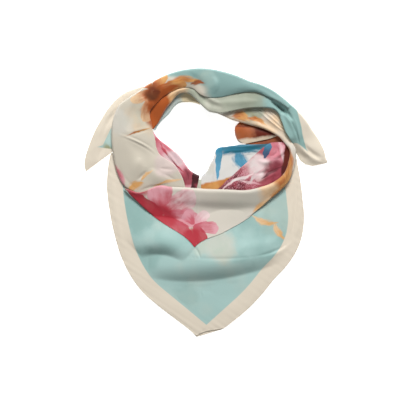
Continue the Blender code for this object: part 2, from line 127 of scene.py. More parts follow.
CREAM = srgb(219, 208, 190)
GROUND = srgb(203, 196, 184)
PALE_GROUND = srgb(198, 190, 174)
CHALK = srgb(212, 210, 206)
PALE_BLUE = srgb(176, 190, 186)
DUCK_EGG = srgb(162, 192, 187)
DEEP_DUCK = srgb(140, 174, 169)
DARK_DUCK = srgb(128, 160, 156)
SEA = srgb(128, 166, 160)
PALE_GREEN = srgb(184, 188, 170)
SAGE = srgb(156, 161, 144)
MOSS = srgb(140, 148, 130)
GREY_GREEN = srgb(178, 190, 182)
OLIVE = srgb(140, 136, 94)
# a pale tan for the under band, paler than its print: painted light that lifts the crown's shadow
# there
DRAB = srgb(232, 210, 164)
CRIMSON = srgb(172, 40, 54)
ROSE = srgb(188, 84, 98)
PINK = srgb(214, 152, 162)
BLUSH = srgb(226, 200, 200)
LILAC = srgb(180, 160, 164)
PLUM = srgb(118, 42, 54)
MAROON = srgb(66, 22, 26)
RUST = srgb(168, 82, 30)
DEEP_RUST = srgb(150, 70, 26)
UMBER = srgb(122, 70, 38)
EMBER = srgb(96, 30, 12)
OCHRE = srgb(209, 154, 88)
PEACH = srgb(224, 190, 150)
TEAL = srgb(46, 122, 150)
DARK_TEAL = srgb(34, 104, 122)
SKY = srgb(76, 150, 184)
NAVY = srgb(34, 66, 98)
HEM_SHADE = srgb(206, 192, 172)
WINE = srgb(160, 76, 86)

# ---- camera and light

CAMERA_AT = (-0.0013, -0.0044)
FRAME_WIDTH = 0.7175  # what the camera takes in across, on the surface
LENS = 160
SENSOR = 36
FLOOR_REACH = 5.0
FLOOR_DROP = 0.0002  # keeps the floor just under the cloth


def put(name, data, place):
    made = bpy.data.objects.new(name, data)
    made.location = place
    bpy.context.scene.collection.objects.link(made)
    return made


def make_camera():
    data = bpy.data.cameras.new("camera")
    data.lens = LENS
    data.sensor_width = SENSOR
    place = (*CAMERA_AT, FRAME_WIDTH * LENS / SENSOR)
    bpy.context.scene.camera = put("camera", data, place)


def area_light(name, place, size, power):
    """A soft light that faces the middle of the scene."""
    data = bpy.data.lights.new(name, "AREA")
    data.shape = "RECTANGLE"
    data.size, data.size_y = size
    data.energy = power
    x, y, z = place
    made = put(name, data, place)
    made.rotation_euler = (math.atan2(math.hypot(x, y), z), 0, math.atan2(x, -y))


def make_studio():
    """A big soft key from the back of the table, weak fill from the front, and a pale floor."""
    area_light("key", (0.3, 2.35, 2.15), (1.3, 1.0), 128)
    area_light("fill", (-1.1, -1.2, 2.6), (2.4, 1.8), 12)
    scene = bpy.context.scene
    scene.world = bpy.data.worlds.new("studio")
    scene.world.use_nodes = True
    sky = scene.world.node_tree.nodes["Background"]
    sky.inputs["Color"].default_value = (1, 1, 1, 1)
    sky.inputs["Strength"].default_value = 0.16
    scene.view_settings.view_transform = "Standard"

    mesh = bpy.data.meshes.new("floor")
    corners = [(x * FLOOR_REACH, y * FLOOR_REACH, 0) for x, y in ((-1, -1), (1, -1), (1, 1), (-1, 1))]
    mesh.from_pydata(corners, [], [(0, 1, 2, 3)])
    paint = bpy.data.materials.new("floor")
    paint.use_nodes = True
    inputs = paint.node_tree.nodes["Principled BSDF"].inputs
    inputs["Base Color"].default_value = (0.97, 0.97, 0.965, 1)
    inputs["Emission Color"].default_value = (1, 1, 1, 1)
    inputs["Emission Strength"].default_value = 0.75
    inputs["Roughness"].default_value = 0.9
    inputs["Specular IOR Level"].default_value = 0.1
    mesh.materials.append(paint)
    put("floor", mesh, (0, 0, -FLOOR_DROP))


# ---- node helpers


class Value:
    """What a node gives out. Reckoning with it adds the nodes that do the sum."""

    def __init__(self, tree, socket):
        self.tree = tree
        self.socket = socket

    def __add__(self, other):
        return self.tree.math("ADD", self, other)

    def __sub__(self, other):
        return self.tree.math("SUBTRACT", self, other)

    def __rsub__(self, other):
        return self.tree.math("SUBTRACT", other, self)

    def __mul__(self, other):
        return self.tree.math("MULTIPLY", self, other)

    def __truediv__(self, other):
        return self.tree.math("DIVIDE", self, other)

    def __abs__(self):
        return self.tree.math("ABSOLUTE", self)


class Tree:
    """Adds nodes to a node tree. A number, a tuple or another node's value feeds an input."""

    def __init__(self, tree):
        self.tree = tree

    def feed(self, socket, value):
        if isinstance(value, Value):
            self.tree.links.new(value.socket, socket)
        elif value is not None:
            socket.default_value = value

    def node(self, kind, feeds=(), **settings):
        """The values that a new node gives, in the order of its outputs."""
        made = self.tree.nodes.new(kind)
        for key, value in settings.items():
            setattr(made, key, value)
        for key, value in dict(feeds).items():
            self.feed(made.inputs[key], value)
        return [Value(self, output) for output in made.outputs]

    def math(self, operation, a, b=None):
        return self.node("ShaderNodeMath", {0: a, 1: b}, operation=operation)[0]

    def vector(self, operation, a, b=None, scale=None):
        feeds = {0: a, 1: b, 3: scale}
        return self.node("ShaderNodeVectorMath", feeds, operation=operation)[0]

    def length(self, vector):
        return self.node("ShaderNodeVectorMath", {0: vector}, operation="LENGTH")[1]

    def joined(self, x, y, z=0.0):
        return self.node("ShaderNodeCombineXYZ", {0: x, 1: y, 2: z})[0]

    def parts(self, vector):
        return self.node("ShaderNodeSeparateXYZ", {0: vector})

    def smooth(self, value, low, high):
        """0 below low, 1 above high and a soft step between, which may also run downwards."""
        feeds = {"Value": value, "From Min": low, "From Max": high}
        return self.node("ShaderNodeMapRange", feeds, interpolation_type="SMOOTHSTEP")[0]

    def mix(self, share, a, b):
        return self.node("ShaderNodeMix", {0: share, 6: a, 7: b}, data_type="RGBA")[2]

    def noise(self, place, scale, detail, seed):
        """Soft noise from 0 to 1, mostly near its middle."""
        feeds = {"Vector": place, "Scale": scale, "Detail": detail, "W": seed}
        return self.node("ShaderNodeTexNoise", feeds, noise_dimensions="4D")[0]


# ---- motifs

# A motif's inputs: what is under it, the place on the cut, where it lies, its half length, its
# half width or softness, its turn in degrees and its two colours.
Given = namedtuple("Given", "under place x y size width turn first second")
KINDS = {"under": "Color", "place": "Vector", "first": "Color", "second": "Color"}
Motif = namedtuple("Motif", "kind x y size width turn first second", defaults=(None,))
Petal = namedtuple("Petal", "turn size width first second", defaults=(None,))


def motif(paint):
    """Makes a node group of a function that paints one kind of motif over what is under it."""
    tree = bpy.data.node_groups.new(paint.__name__, "ShaderNodeTree")
    for key in Given._fields:
        kind = "NodeSocket" + KINDS.get(key, "Float")
        tree.interface.new_socket(key, in_out="INPUT", socket_type=kind)
    tree.interface.new_socket("colour", in_out="OUTPUT", socket_type="NodeSocketColor")
    t = Tree(tree)
    given = Given(*t.node("NodeGroupInput")[: len(Given._fields)])
    t.node("NodeGroupOutput", {0: paint(t, given)})
    return tree


def turned(t, given):
    """The place in the motif's own turned axes, still in millimetres."""
    from_middle = t.vector("SUBTRACT", given.place, t.joined(given.x, given.y))
    turn = t.math("RADIANS", given.turn) * -1.0
    feeds = {"Vector": from_middle, "Axis": (0.0, 0.0, 1.0), "Angle": turn}
    return t.node("ShaderNodeVectorRotate", feeds, rotation_type="AXIS_ANGLE")[0]


def shares(t, given):
    """The place along and across the motif, where 1 is half its length or half its width."""
    x, y, _ = t.parts(turned(t, given))
    return x / given.size, y / given.width


def toned(t, given, tone, low, high):
    """The first colour where the tone is low, and the second where it is high."""
    return t.mix(t.smooth(tone, low, high), given.first, given.second)


@motif
def petal(t, given):
    """One painted petal: deep at its base, paler to its round tip, with streaks along it."""
    x, y = shares(t, given)
    uneven = t.noise(given.place, 0.035, 3.0, given.x) - 0.5
    room = t.math("SQRT", t.math("MAXIMUM", 1.0 - x * x, 0.0)) * (x * 0.25 + 0.8)
    inside = room - abs(y) + uneven * 0.5 - t.smooth(abs(x), 0.95, 1.1)
    streak = t.noise(t.joined(x * 1.3, y * 4.5), 1.0, 3.0, given.y) - 0.5
    tone = x * 0.45 + streak * 0.9 + uneven * 1.5
    colour = toned(t, given, tone, -0.4, 0.5)
    colour = t.mix(t.smooth(inside, 0.1, 0.02) * 0.3, colour, given.first)
    return t.mix(t.smooth(inside, 0.0, 0.09) * 0.94, given.under, colour)


@motif
def stroke(t, given):
    """A bent brush stroke that tapers to both ends, with its bristles' streaks along it."""
    x, y = shares(t, given)
    square = x * x
    y = y + square * 0.6
    bristle = t.noise(t.joined(x * 1.6, y * 3.2), 1.0, 3.0, given.x) - 0.5
    inside = 1.0 - square - abs(y) + bristle * 1.3
    tone = x * 0.4 + bristle * 1.6
    colour = toned(t, given, tone, -0.5, 0.5)
    return t.mix(t.smooth(inside, -0.05, 0.6) * 0.95, given.under, colour)


@motif
def threads(t, given):
    """Fine wisps of the first colour on soft drifts of the second. Width is their spacing."""
    place = turned(t, given)
    grain = t.noise(given.place, 0.06, 3.0, given.y) - 0.5
    pool = t.smooth(t.length(place) / given.size + grain * 1.4, 1.0, 0.5)
    spot = t.vector("DIVIDE", place, t.joined(given.width, given.width, 1.0))
    spot = t.vector("MULTIPLY", spot, (0.5, 1.3, 1.0))
    wisps = t.smooth(abs(t.noise(spot, 1.4, 2.0, 1.0) - 0.5), 0.028, 0.006)
    others = t.smooth(abs(t.noise(spot, 1.1, 2.0, 5.0) - 0.5), 0.024, 0.005)
    thread = t.math("MAXIMUM", wisps, others) * pool
    drift = t.smooth(grain, 0.0, 0.25) * pool
    colour = t.mix(drift * 0.7, given.under, given.second)
    return t.mix(thread * 0.7, colour, given.first)


@motif
def wash(t, given):
    """A soft pool of colour with an uneven edge. Width is how much of it covers, up to 1."""
    grain = t.noise(given.place, 0.035, 4.0, given.y) - 0.5
    depth = t.length(turned(t, given)) / given.size + grain * 1.5
    colour = toned(t, given, grain, -0.2, 0.25)
    return t.mix(t.smooth(depth, 1.1, 0.55) * given.width, given.under, colour)


@motif
def field(t, given):
    """Another ground colour past a soft line through a place. Width is the line's softness."""
    x, _, _ = t.parts(turned(t, given))
    grain = t.noise(given.place, 0.03, 3.0, given.x) - 0.5
    past = (x + grain * given.size) / given.width
    colour = toned(t, given, grain, -0.25, 0.25)
    return t.mix(t.smooth(past, -0.5, 0.5), given.under, colour)


def flower(x, y, petals):
    """The motifs of a flower with its heart at x, y, from a short table of its petals."""
    rows = []
    for row in petals:
        p = Petal(*row)
        turn = math.radians(p.turn)
        middle = (x + p.size * math.cos(turn), y + p.size * math.sin(turn))
        rows.append((petal, *middle, p.size, p.width, p.turn, p.first, p.second))
    return rows


def satin(name, ground, motifs, border=False):
    """Printed satin: ground, then motifs over it in turn, then the plain border along the hem. Some
    motifs are painted shade, painted shadow, painted light and painted highlights.
    """
    made = bpy.data.materials.new(name)
    made.use_nodes = True
    t = Tree(made.node_tree)
    inputs = made.node_tree.nodes["Principled BSDF"].inputs
    flat = t.vector("SCALE", t.node("ShaderNodeUVMap", uv_map="cut")[0], scale=1 / MM)
    drift = t.node("ShaderNodeTexNoise", {"Vector": flat, "Scale": 0.06, "Detail": 3.0})[1]
    drift = t.vector("SUBTRACT", drift, (0.5, 0.5, 0.5))
    place = t.vector("ADD", flat, t.vector("SCALE", drift, scale=9.0))
    paler = tuple(0.6 * c + 0.4 * w for c, w in zip(ground, CREAM))
    grain = t.noise(flat, 0.02, 4.0, 3.0)
    colour = t.mix(t.smooth(grain, 0.45, 0.75) * 0.5, ground, paler)
    for row in motifs:
        m = Motif(*row)
        given = Given(colour, place, *m[1:-1], m.second or m.first)
        colour = t.node("ShaderNodeGroup", given._asdict(), node_tree=m.kind)[0]
    if border:
        hem = t.node("ShaderNodeAttribute", attribute_name="hem")[2]
        colour = t.mix(t.smooth(hem, BORDER + 0.8, BORDER - 0.8), colour, CREAM)
        roll = t.smooth(hem, HEM_ROLL + 0.6, HEM_ROLL - 0.2) * 0.2
        colour = t.mix(roll, colour, HEM_SHADE)
    feeds = {"Vector": flat, "Scale": 0.45, "Distortion": 0.6, "Detail": 1.0}
    lines = t.node("ShaderNodeTexWave", feeds, bands_direction="DIAGONAL")[1]
    slub = t.noise(flat, 0.5, 3.0, 7.0)
    feeds = {"Strength": 0.10, "Distance": 0.0004, "Height": lines * 0.25 + slub}
    t.feed(inputs["Base Color"], colour)
    t.feed(inputs["Normal"], t.node("ShaderNodeBump", feeds)[0])
    t.feed(inputs["Roughness"], slub * 0.08 + 0.46)
    inputs["Specular IOR Level"].default_value = 0.24
    inputs["Sheen Weight"].default_value = 0.22
    inputs["Sheen Roughness"].default_value = 0.45
    return made


# ---- cloth helpers

# A section: both edges' angles and distances from the middle of the opening, the heights of
# the cloth's edge and of the shoulder above it at each, and how far the middle swells up.
Section = namedtuple("Section", "in_deg in_r in_edge in_top out_deg out_r out_edge out_top crown")
# A section that lies level, with one top all across. Its band has one height of inner edge.
Level = namedtuple("Level", "in_deg in_r out_deg out_r top crown", defaults=(0,))
# A fold: a soft ridge, or a trough where rise is below 0, along a curve through three places.
# Lean makes it steeper on its left side, seen along the curve, or on its right below 0. A puff
# of 1 makes its right side bulge down to a crease, as a pillow does, and not run out softly.
Fold = namedtuple("Fold", "x0 y0 xm ym x1 y1 width rise lean puff", defaults=(0, 0))


def spline(table, count, closed=False):
    """The table's rows, resampled to count rows on a Catmull-Rom curve through them."""
    rows = np.array(table, float)
    last = len(rows) if closed else len(rows) - 1
    places = np.linspace(0, last, count, endpoint=not closed)
    spots = np.minimum(places.astype(int), last - 1)
    share = (places - spots)[:, None]

    def row(index):
        return rows[index % len(rows) if closed else np.clip(index, 0, len(rows) - 1)]

    before, here, ahead, after = (row(spots + step) for step in (-1, 0, 1, 2))
    return 0.5 * (
        2 * here
        + (ahead - before) * share
        + (2 * before - 5 * here + 4 * ahead - after) * share**2
        + (3 * here - before - 3 * ahead + after) * share**3
    )


def polar(degrees, radius):
    """The place at an angle and a distance from the middle of the opening."""
    turn = np.radians(degrees)
    return np.stack([np.cos(turn), np.sin(turn)], -1) * radius[..., None] + OPENING


def across(inner, outer, share):
    """Places between two edges, by their share of the way from the inner to the outer one."""
    share = share[..., None]
    return inner[:, None] * (1 - share) + outer[:, None] * share


def raised(place, height):
    """Flat places with their heights."""
    return np.concatenate([place, height[..., None]], axis=-1)


def distance_to(place, path):
    """How far each place is from a path of straight stretches."""
    best = np.full(place.shape[:-1], 1e9)
    for start, end in zip(path[:-1], path[1:]):
        way = end - start
        share = np.clip(((place - start) @ way) / (way @ way), 0, 1)
        spot = start + share[..., None] * way
        best = np.minimum(best, np.linalg.norm(place - spot, axis=-1))
    return best


def inside(place, corners):
    """How far each place is inside a shape with these corners, and below 0 outside it."""
    path = np.array([*corners, corners[0]], float)
    odd = np.zeros(place.shape[:-1], bool)
    x, y = place[..., 0], place[..., 1]
    for (x0, y0), (x1, y1) in zip(path[:-1], path[1:]):
        if y0 != y1:
            odd ^= ((y0 > y) != (y1 > y)) & (x < (x1 - x0) * (y - y0) / (y1 - y0) + x0)
    return np.where(odd, 1, -1) * distance_to(place, path)


def from_hem(grid, ground):
    """How far each point is in from the hem, by the corners of the border's inner line."""
    return BORDER + inside(grid[..., :2], ground)


def rolloff(distance, width):
    """How far down its rim the cloth has turned: 1 at the edge, 0 from width inwards."""
    share = np.clip(distance / width, 0, 1)
    return 1 - np.sqrt(np.clip(1 - (1 - share) ** 2, 0, 1))


def ridge(place, fold):
    """The rise that one fold gives at each place: soft across, and fading at its ends."""
    fold = Fold(*fold)
    ends = np.array([(fold.x0, fold.y0), (fold.xm, fold.ym), (fold.x1, fold.y1)])
    slope = 4 * ends[1] - 3 * ends[0] - ends[2]
    bow = 2 * (ends[0] - 2 * ends[1] + ends[2])

    def beside(spot, run):
        """How far off the line each spot is from its place on it, and the line's way there."""
        run = run[:, None]
        return spot - ends[0] - run * slope - run**2 * bow, slope + 2 * run * bow

    spots = np.linspace(0, 1, FOLD_SPOTS)
    line = ends[0] + spots[:, None] * slope + spots[:, None] ** 2 * bow
    flat = place.reshape(-1, 2)
    reach = FOLD_REACH * fold.width
    close = ((flat > line.min(0) - reach) & (flat < line.max(0) + reach)).all(1)
    spot = flat[close]
    run = spots[np.linalg.norm(spot[:, None] - line, axis=-1).argmin(-1)]
    for _ in range(FOLD_STEPS):
        off, way = beside(spot, run)
        pull = (way * way).sum(1)
        bend = np.maximum(pull - 2 * (off * bow).sum(1), pull / 3)
        run = np.clip(run + (off * way).sum(1) / bend, 0, 1)
    off, way = beside(spot, run)
    left = np.sign(way[:, 0] * off[:, 1] - way[:, 1] * off[:, 0])
    fade = np.sin(math.pi * run) ** FOLD_FADE
    narrow = END_WIDTH + PUFF_WIDTH * fold.puff
    taper = narrow + (1 - narrow) * np.sin(math.pi * run) ** FOLD_TAPER
    share = np.linalg.norm(off, axis=1) / (fold.width * taper * (1 - fold.lean * left))
    bell = np.exp(-(share**2))
    pillow = np.clip(1 - (share / PILLOW) ** 2, 0, 1) ** PILLOW_POWER
    puff = fold.puff * (left < 0)
    shoulder = fold.puff * (left >= 0) * (np.exp(-((share / SHOULDER) ** 2)) - bell) / 2
    rise = np.zeros(len(flat))
    rise[close] = fold.rise * fade * (bell * (1 - puff) + pillow * puff + shoulder)
    return rise.reshape(place.shape[:-1])


def ripples(place, seed, length, rise, way, spread):
    """Slight unevenness: a few long crossing waves, lined up about the way given in degrees."""
    random = np.random.default_rng(seed)
    total = np.zeros(place.shape[:-1])
    bent = place + WAVE_BEND * np.sin(place[..., ::-1] / BEND_LENGTH + seed)
    for _ in range(WAVES):
        turn = math.radians(way + 90 + random.normal(0, spread))
        size = length * random.uniform(*WAVE_SIZES)
        phase = random.uniform(0, 2 * math.pi)
        run = bent[..., 0] * math.cos(turn) + bent[..., 1] * math.sin(turn)
        swell = np.sin(run * 0.21 / size + 1.7 * phase) * 0.5 + 0.7
        total += np.sin(2 * math.pi * run / size + phase) * swell
    return total * rise / 3


def shares_across(width, rims, steps):
    """Where the points of each section lie, from 0 to 1: close together round the rims."""
    inner, middle, outer = steps
    turn = np.linspace(0, math.pi / 2, inner + 1)[None, :]
    back = np.linspace(math.pi / 2, 0, outer + 1)[None, :]
    near = (rims[0] / width) * (1 - np.cos(turn))
    far = 1 - (rims[1] / width) * (1 - np.cos(back))
    between = np.linspace(0, 1, middle + 1)[None, 1:-1]
    between = near[:, -1:] * (1 - between) + far[:, :1] * between
    return np.concatenate([near, between, far], axis=1)


def valley_side(above, inner, outer, share):
    """Shares that cover only one side of the valley where the two crown folds meet."""
    tries = np.linspace(0, 1, VALLEY_TRIES)
    place = across(inner, outer, tries[None, :])
    meet = tries[distance_to(place, np.array(VALLEY, float)).argmin(1)]
    count = 2 * VALLEY_SMOOTHED + 1
    meet = np.pad(meet, VALLEY_SMOOTHED, mode="edge")
    meet = np.convolve(meet, np.ones(count) / count, "valid")[:, None]
    span = np.linspace(0, 1, share.shape[1])[None, :]
    if not above:
        return meet * span
    near_rim = np.maximum(share - meet, 0) / (1 - meet)
    return meet + (1 - meet) * (0.5 * span + 0.5 * near_rim)


def fan(table, steps, rims=RIMS, folds=(), uneven=(), above=None, v_depth=0.0, shared=(),
        settle=(0, 0), turn=(1, 1)):
    """A fine grid of points through a table of sections, with both rims turned down.

    Steps are the counts of points round the inner rim, across and round the outer rim. Above
    says which side of the valley the grid covers, where it is one side's. The outer edge may be
    drawn out by v_depth into a V. Folds die out towards both rims, and shared ones don't, so
    that pieces on each other follow them alike. Thin cloth lies closer on what is under it than
    a wall does: settle is how much lower its two edges are, away from the table's ends, and
    turn is how much of each rim's drop it keeps."""
    rows = np.array(table, float)
    for column in (0, 4):
        rows[:, column] = np.degrees(np.unwrap(np.radians(rows[:, column])))
    coarse = Section(*spline(rows, COARSE).T)
    middle = (polar(coarse.in_deg, coarse.in_r) + polar(coarse.out_deg, coarse.out_r)) / 2
    run = np.linalg.norm(np.diff(middle, axis=0), axis=1).sum()
    s = Section(*spline(rows, int(run / FINE)).T)
    reach = v_depth * np.exp(-np.abs(s.out_deg - V_ANGLE) / V_SPREAD)
    inner = polar(s.in_deg, s.in_r)
    outer = polar(s.out_deg, s.out_r + reach)
    width = np.linalg.norm(outer - inner, axis=1)[:, None]
    rims = [np.minimum(rim, width * RIM_SHARE) for rim in rims]
    share = shares_across(width, rims, steps)
    if above is not None:
        share = valley_side(above, inner, outer, share)
    ramp = np.linspace(0, 1, len(inner))[:, None] / SETTLED_BY
    start = np.clip(np.minimum(ramp, 1 / SETTLED_BY - ramp), 0, 1)
    tops = [s.in_top[:, None] - settle[0] * start, s.out_top[:, None] - settle[1] * start]
    edges = [
        np.maximum(edge[:, None] - drop * start, np.minimum(edge[:, None], RESTING))
        for edge, drop in zip((s.in_edge, s.out_edge), settle)
    ]
    height = (
        tops[0] * (1 - share)
        + tops[1] * share
        + s.crown[:, None] * np.sin(math.pi * share)
        - (tops[0] - edges[0]) * rolloff(share * width, rims[0]) * turn[0]
        - (tops[1] - edges[1]) * rolloff((1 - share) * width, rims[1]) * turn[1]
    )
    place = across(inner, outer, share)
    calm = np.sin(math.pi * share) ** CALM
    for fold in folds:
        height += ridge(place, fold) * calm
    for waves in uneven:
        height += ripples(place, *waves) * calm
    for fold in shared:
        height += ridge(place, fold)
    return raised(place, height)


def unrolled(grid):
    """Each point's place on the flat cut: as seen from above, with the rims laid out flat."""
    steps = np.linalg.norm(np.diff(grid, axis=1), axis=2)
    run = np.concatenate([np.zeros((len(grid), 1)), steps.cumsum(1)], axis=1)
    middle = (grid[:, 0, :2] + grid[:, -1, :2]) / 2
    way = grid[:, -1, :2] - grid[:, 0, :2]
    way /= np.linalg.norm(way, axis=1, keepdims=True)
    return middle[:, None] + way[:, None] * (run - run[:, -1:] / 2)[..., None]


def normals(grid):
    """The grid's normals, pointing up on the whole."""
    normal = np.cross(np.gradient(grid, axis=0), np.gradient(grid, axis=1))
    normal /= np.maximum(np.linalg.norm(normal, axis=2, keepdims=True), 1e-9)
    return normal * np.sign(normal[..., 2].sum())


def signed_volume(points, quads):
    a, b, c, d = (points[quads[:, k]] for k in range(4))
    first = np.einsum("ij,ij->i", a, np.cross(b, c)).sum()
    return first + np.einsum("ij,ij->i", a, np.cross(c, d)).sum()


def solid(name, points, quads, nodes, material, flat, crease, hem=None):
    """A closed mesh that stands for the CAD nodes named. Flat is each point's place on the cut."""
    mesh = bpy.data.meshes.new(name)
    mesh.from_pydata(points * MM, [], quads.tolist())
    mesh.update()
    if signed_volume(points, quads) < 0:
        mesh.flip_normals()
    mesh.shade_smooth()
    mesh.set_sharp_from_angle(angle=math.radians(crease))
    corners = np.zeros(len(mesh.loops), int)
    mesh.loops.foreach_get("vertex_index", corners)
    layer = mesh.uv_layers.new(name="cut")
    layer.data.foreach_set("uv", (flat[corners] * MM).astype(np.float32).ravel())
    if hem is not None:
        values = mesh.attributes.new("hem", "FLOAT", "POINT")
        values.data.foreach_set("value", hem.astype(np.float32))
    mesh.materials.append(material)
    made = put(name, mesh, (0, 0, 0))
    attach(made, "root")
    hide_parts(*nodes)


def cloth(name, grid, nodes, material, hem=None, cut=None, thick=LEAF):
    """A closed thin shell that hangs under the grid and stands for the CAD nodes named."""
    thick = thick if np.ndim(thick) == 0 else thick[..., None]
    back = grid - normals(grid) * thick
    rows, columns = grid.shape[:2]
    points = np.concatenate([grid.reshape(-1, 3), back.reshape(-1, 3)])
    index = np.arange(rows * columns).reshape(rows, columns)
    under = index + rows * columns
    up = np.stack([index[:-1, :-1], index[1:, :-1], index[1:, 1:], index[:-1, 1:]], -1)
    down = np.stack([under[:-1, :-1], under[:-1, 1:], under[1:, 1:], under[1:, :-1]], -1)
    loop = np.concatenate([index[:, 0], index[-1, 1:], index[-2::-1, -1], index[0, -2:0:-1]])
    after = np.roll(loop, -1)
    side = np.stack([loop, loop + rows * columns, after + rows * columns, after], -1)
    quads = np.concatenate([up.reshape(-1, 4), down.reshape(-1, 4), side])
    flat = unrolled(grid) if cut is None else cut
    flat = np.tile(flat.reshape(-1, 2), (2, 1))
    hem = None if hem is None else np.tile(hem.ravel(), 2)
    solid(name, points, quads, nodes, material, flat, CLOTH_CREASE, hem)


# ---- sections


def level(in_edge, rows, in_top=None):
    """Full sections of a band that lies level, from a table of Level rows. In_top is the height
    of its inner shoulder, where that isn't the row's own top."""
    levels = [Level(*row) for row in rows]
    return [
        (s.in_deg, s.in_r, in_edge, in_top or s.top, s.out_deg, s.out_r, s.top, s.top, s.crown)
        for s in levels
    ]


# One band of cloth: across the front, then up the right side and under the crown.
FRONT_TO_RIGHT = [
    (213.7, 153.2, 10, 10.8, 212.5, 156.6, 5.5, 10, 0),
    (216.5, 148, 10.8, 12.8, 214.5, 156, 5.5, 10, 0.6),
    (221.4, 137.8, 12.6, 15.6, 218.5, 155, 5.5, 10.2, 1.2),
    (227.6, 107.2, 14, 18.4, 226, 153.5, 5.5, 10.4, 1.5),
    (238, 96, 14.5, 20.5, 237, 155, 5.4, 10.2, 0.5),
    (247, 89, 14.5, 22, 248, 158.5, 5.4, 9.4, -1),
    (256, 85, 14.5, 22.5, 257, 162, 5.4, 8.6, -2),
    (264, 84, 14.5, 22.5, 263, 164, 5.4, 8, -2.6),
    (269, 84, 14.5, 22.5, 267, 165, 5.4, 7.6, -2.8),
    (275, 85, 14.5, 22.5, 273, 166, 5.4, 7.8, -2.8),
    (284, 88, 14.5, 22.5, 281, 166, 5.4, 8.2, -2.6),
    (293, 93, 14.5, 22.5, 291, 162, 5.4, 8.8, -2.2),
    (303, 103, 14, 22, 300, 160, 5.4, 9.8, -1.6),
    (313, 119, 13.5, 21.5, 310, 158.5, 5.4, 11.2, -0.6),
    (322, 133, 13, 21, 320, 160.5, 5.4, 12.8, 1),
    (330, 147, 12.5, 20, 328, 166, 5.4, 14, 2),
    (338, 157, 12, 19, 336, 171, 5, 15, 2),
    (346, 158.5, 12, 19, 345, 170.5, 5, 16, 2),
    (353, 157, 12, 19, 354, 169, 5, 17, 2),
    (358, 147, 12.3, 17.5, 0, 160, 13, 16, 1),
    (2.6, 136.6, 12.3, 17, 5, 157, 16, 16, 0.5),
    (9, 115.5, 12.3, 17, 12, 152, 16.5, 16.5, 0.5),
    (18, 88, 12.3, 17, 22, 149, 17, 17, 0.5),
    (30, 68, 11.5, 16.5, 35, 140, 17, 17, 0.5),
    (42, 60, 11, 15.5, 46, 115, 15.5, 15.5, 0),
    (54, 56, 10, 13, 56, 95, 13.5, 13.5, 0),
    (63, 55.5, 9, 11, 64, 88, 11.5, 11.5, 0),
]
# One band of cloth: up the left side from under the cowl's lip, then over the crown.
LEFT_TO_CROWN = [
    (256, 95, 11.4, 11.6, 222, 140, 8.2, 8.4, 0),
    (249, 78, 11.5, 13, 216.5, 149, 6.4, 8.2, 1),
    (240, 68, 12, 14.5, 212, 154, 5, 8.2, 2),
    (225, 62, 12.5, 15.5, 207, 155.8, 5, 8.6, 3),
    (212, 66, 13, 15.5, 201.5, 155.6, 5, 9.2, 4),
    (200, 74, 13, 15.5, 195, 154.5, 5, 10.2, 5),
    (190, 77, 13, 15.5, 188, 154, 5.5, 11.5, 5),
    (180, 78, 13, 15.5, 179, 155, 6, 13, 5),
    (170, 83, 13, 15.5, 168, 156, 6, 14.5, 5),
    (161, 89, 13, 16, 157, 154.5, 6, 16.5, 5),
    (156, 95, 13.5, 17.5, 149.5, 146, 6, 18.8, 5),
    (150, 100, 14.5, 20, 142, 138, 6, 21.5, 4.5),
    (140, 98, 18.5, 22.5, 134, 134, 5, 24.5, 4.5),
    (130, 98, 21.3, 24.5, 127, 131, 3, 26.5, 4),
    (118, 96, 22.8, 25.2, 117, 128.5, 2, 28, 3.5),
    (108, 95.5, 22.8, 25.2, 107, 127, 2, 29, 3.5),
    (98, 90, 22.6, 25, 98, 126, 2, 29, 3.5),
    (90, 79, 22.2, 24.6, 90, 126, 2, 29, 3.5),
    (80, 75, 22, 24.4, 80, 126, 2, 29, 3.5),
    (70, 78, 22, 24.4, 70, 127, 2, 29, 3.5),
    (60, 87, 22.8, 25.2, 60, 130, 2, 29.5, 3.5),
    (50, 106, 24.6, 27, 50, 135, 2, 30, 3),
    (40, 128, 26, 28.4, 41, 146, 2, 30, 2),
    (32, 139.5, 27.4, 29.6, 33.5, 155.5, 2, 30, 2),
    (26, 150.5, 28.6, 30.5, 28, 162, 2, 29.5, 1.5),
    (19.7, 162.5, 29, 30.5, 22.2, 169.7, 2, 28.5, 1),
]
CROWN_LOWER_FOLD = [
    (167, 84, 9.8, 11.4, 160, 103, 11.4, 11.4, 0),
    (158, 79, 10, 12, 152, 106, 11.8, 11.8, 0),
    (148, 78.5, 10.5, 15, 144, 107, 13, 13, 1.5),
    (138, 80, 11, 18, 136, 107, 15, 15, 2),
    (126, 83, 11.3, 19.5, 126, 106, 16, 16, 2),
    (114, 88.5, 11.5, 20, 114, 105, 16.5, 16.5, 2),
    (104, 83, 11.5, 20, 105, 104, 16.5, 16.5, 2),
    (95, 70, 11.5, 20, 97, 98, 16.5, 16.5, 2),
    (85, 58.5, 12, 20, 86, 86, 17, 17, 1),
    (73, 52, 13, 20.5, 74, 86, 17.5, 17.5, 1),
    (60, 54, 15.3, 21.5, 62, 94, 19, 19, 1),
    (50, 60, 17.3, 22.5, 52, 111, 20.5, 20.5, 1),
    (40, 79, 18.8, 24, 43, 132, 22, 22, 1),
    (31, 107, 19.5, 25, 35, 146.5, 23, 23, 1),
    (23, 137, 19.8, 25.5, 28, 155.5, 25, 25, 0.5),
    (17.1, 144.4, 19.8, 25, 21.4, 165, 26.8, 26.8, 0.5),
]
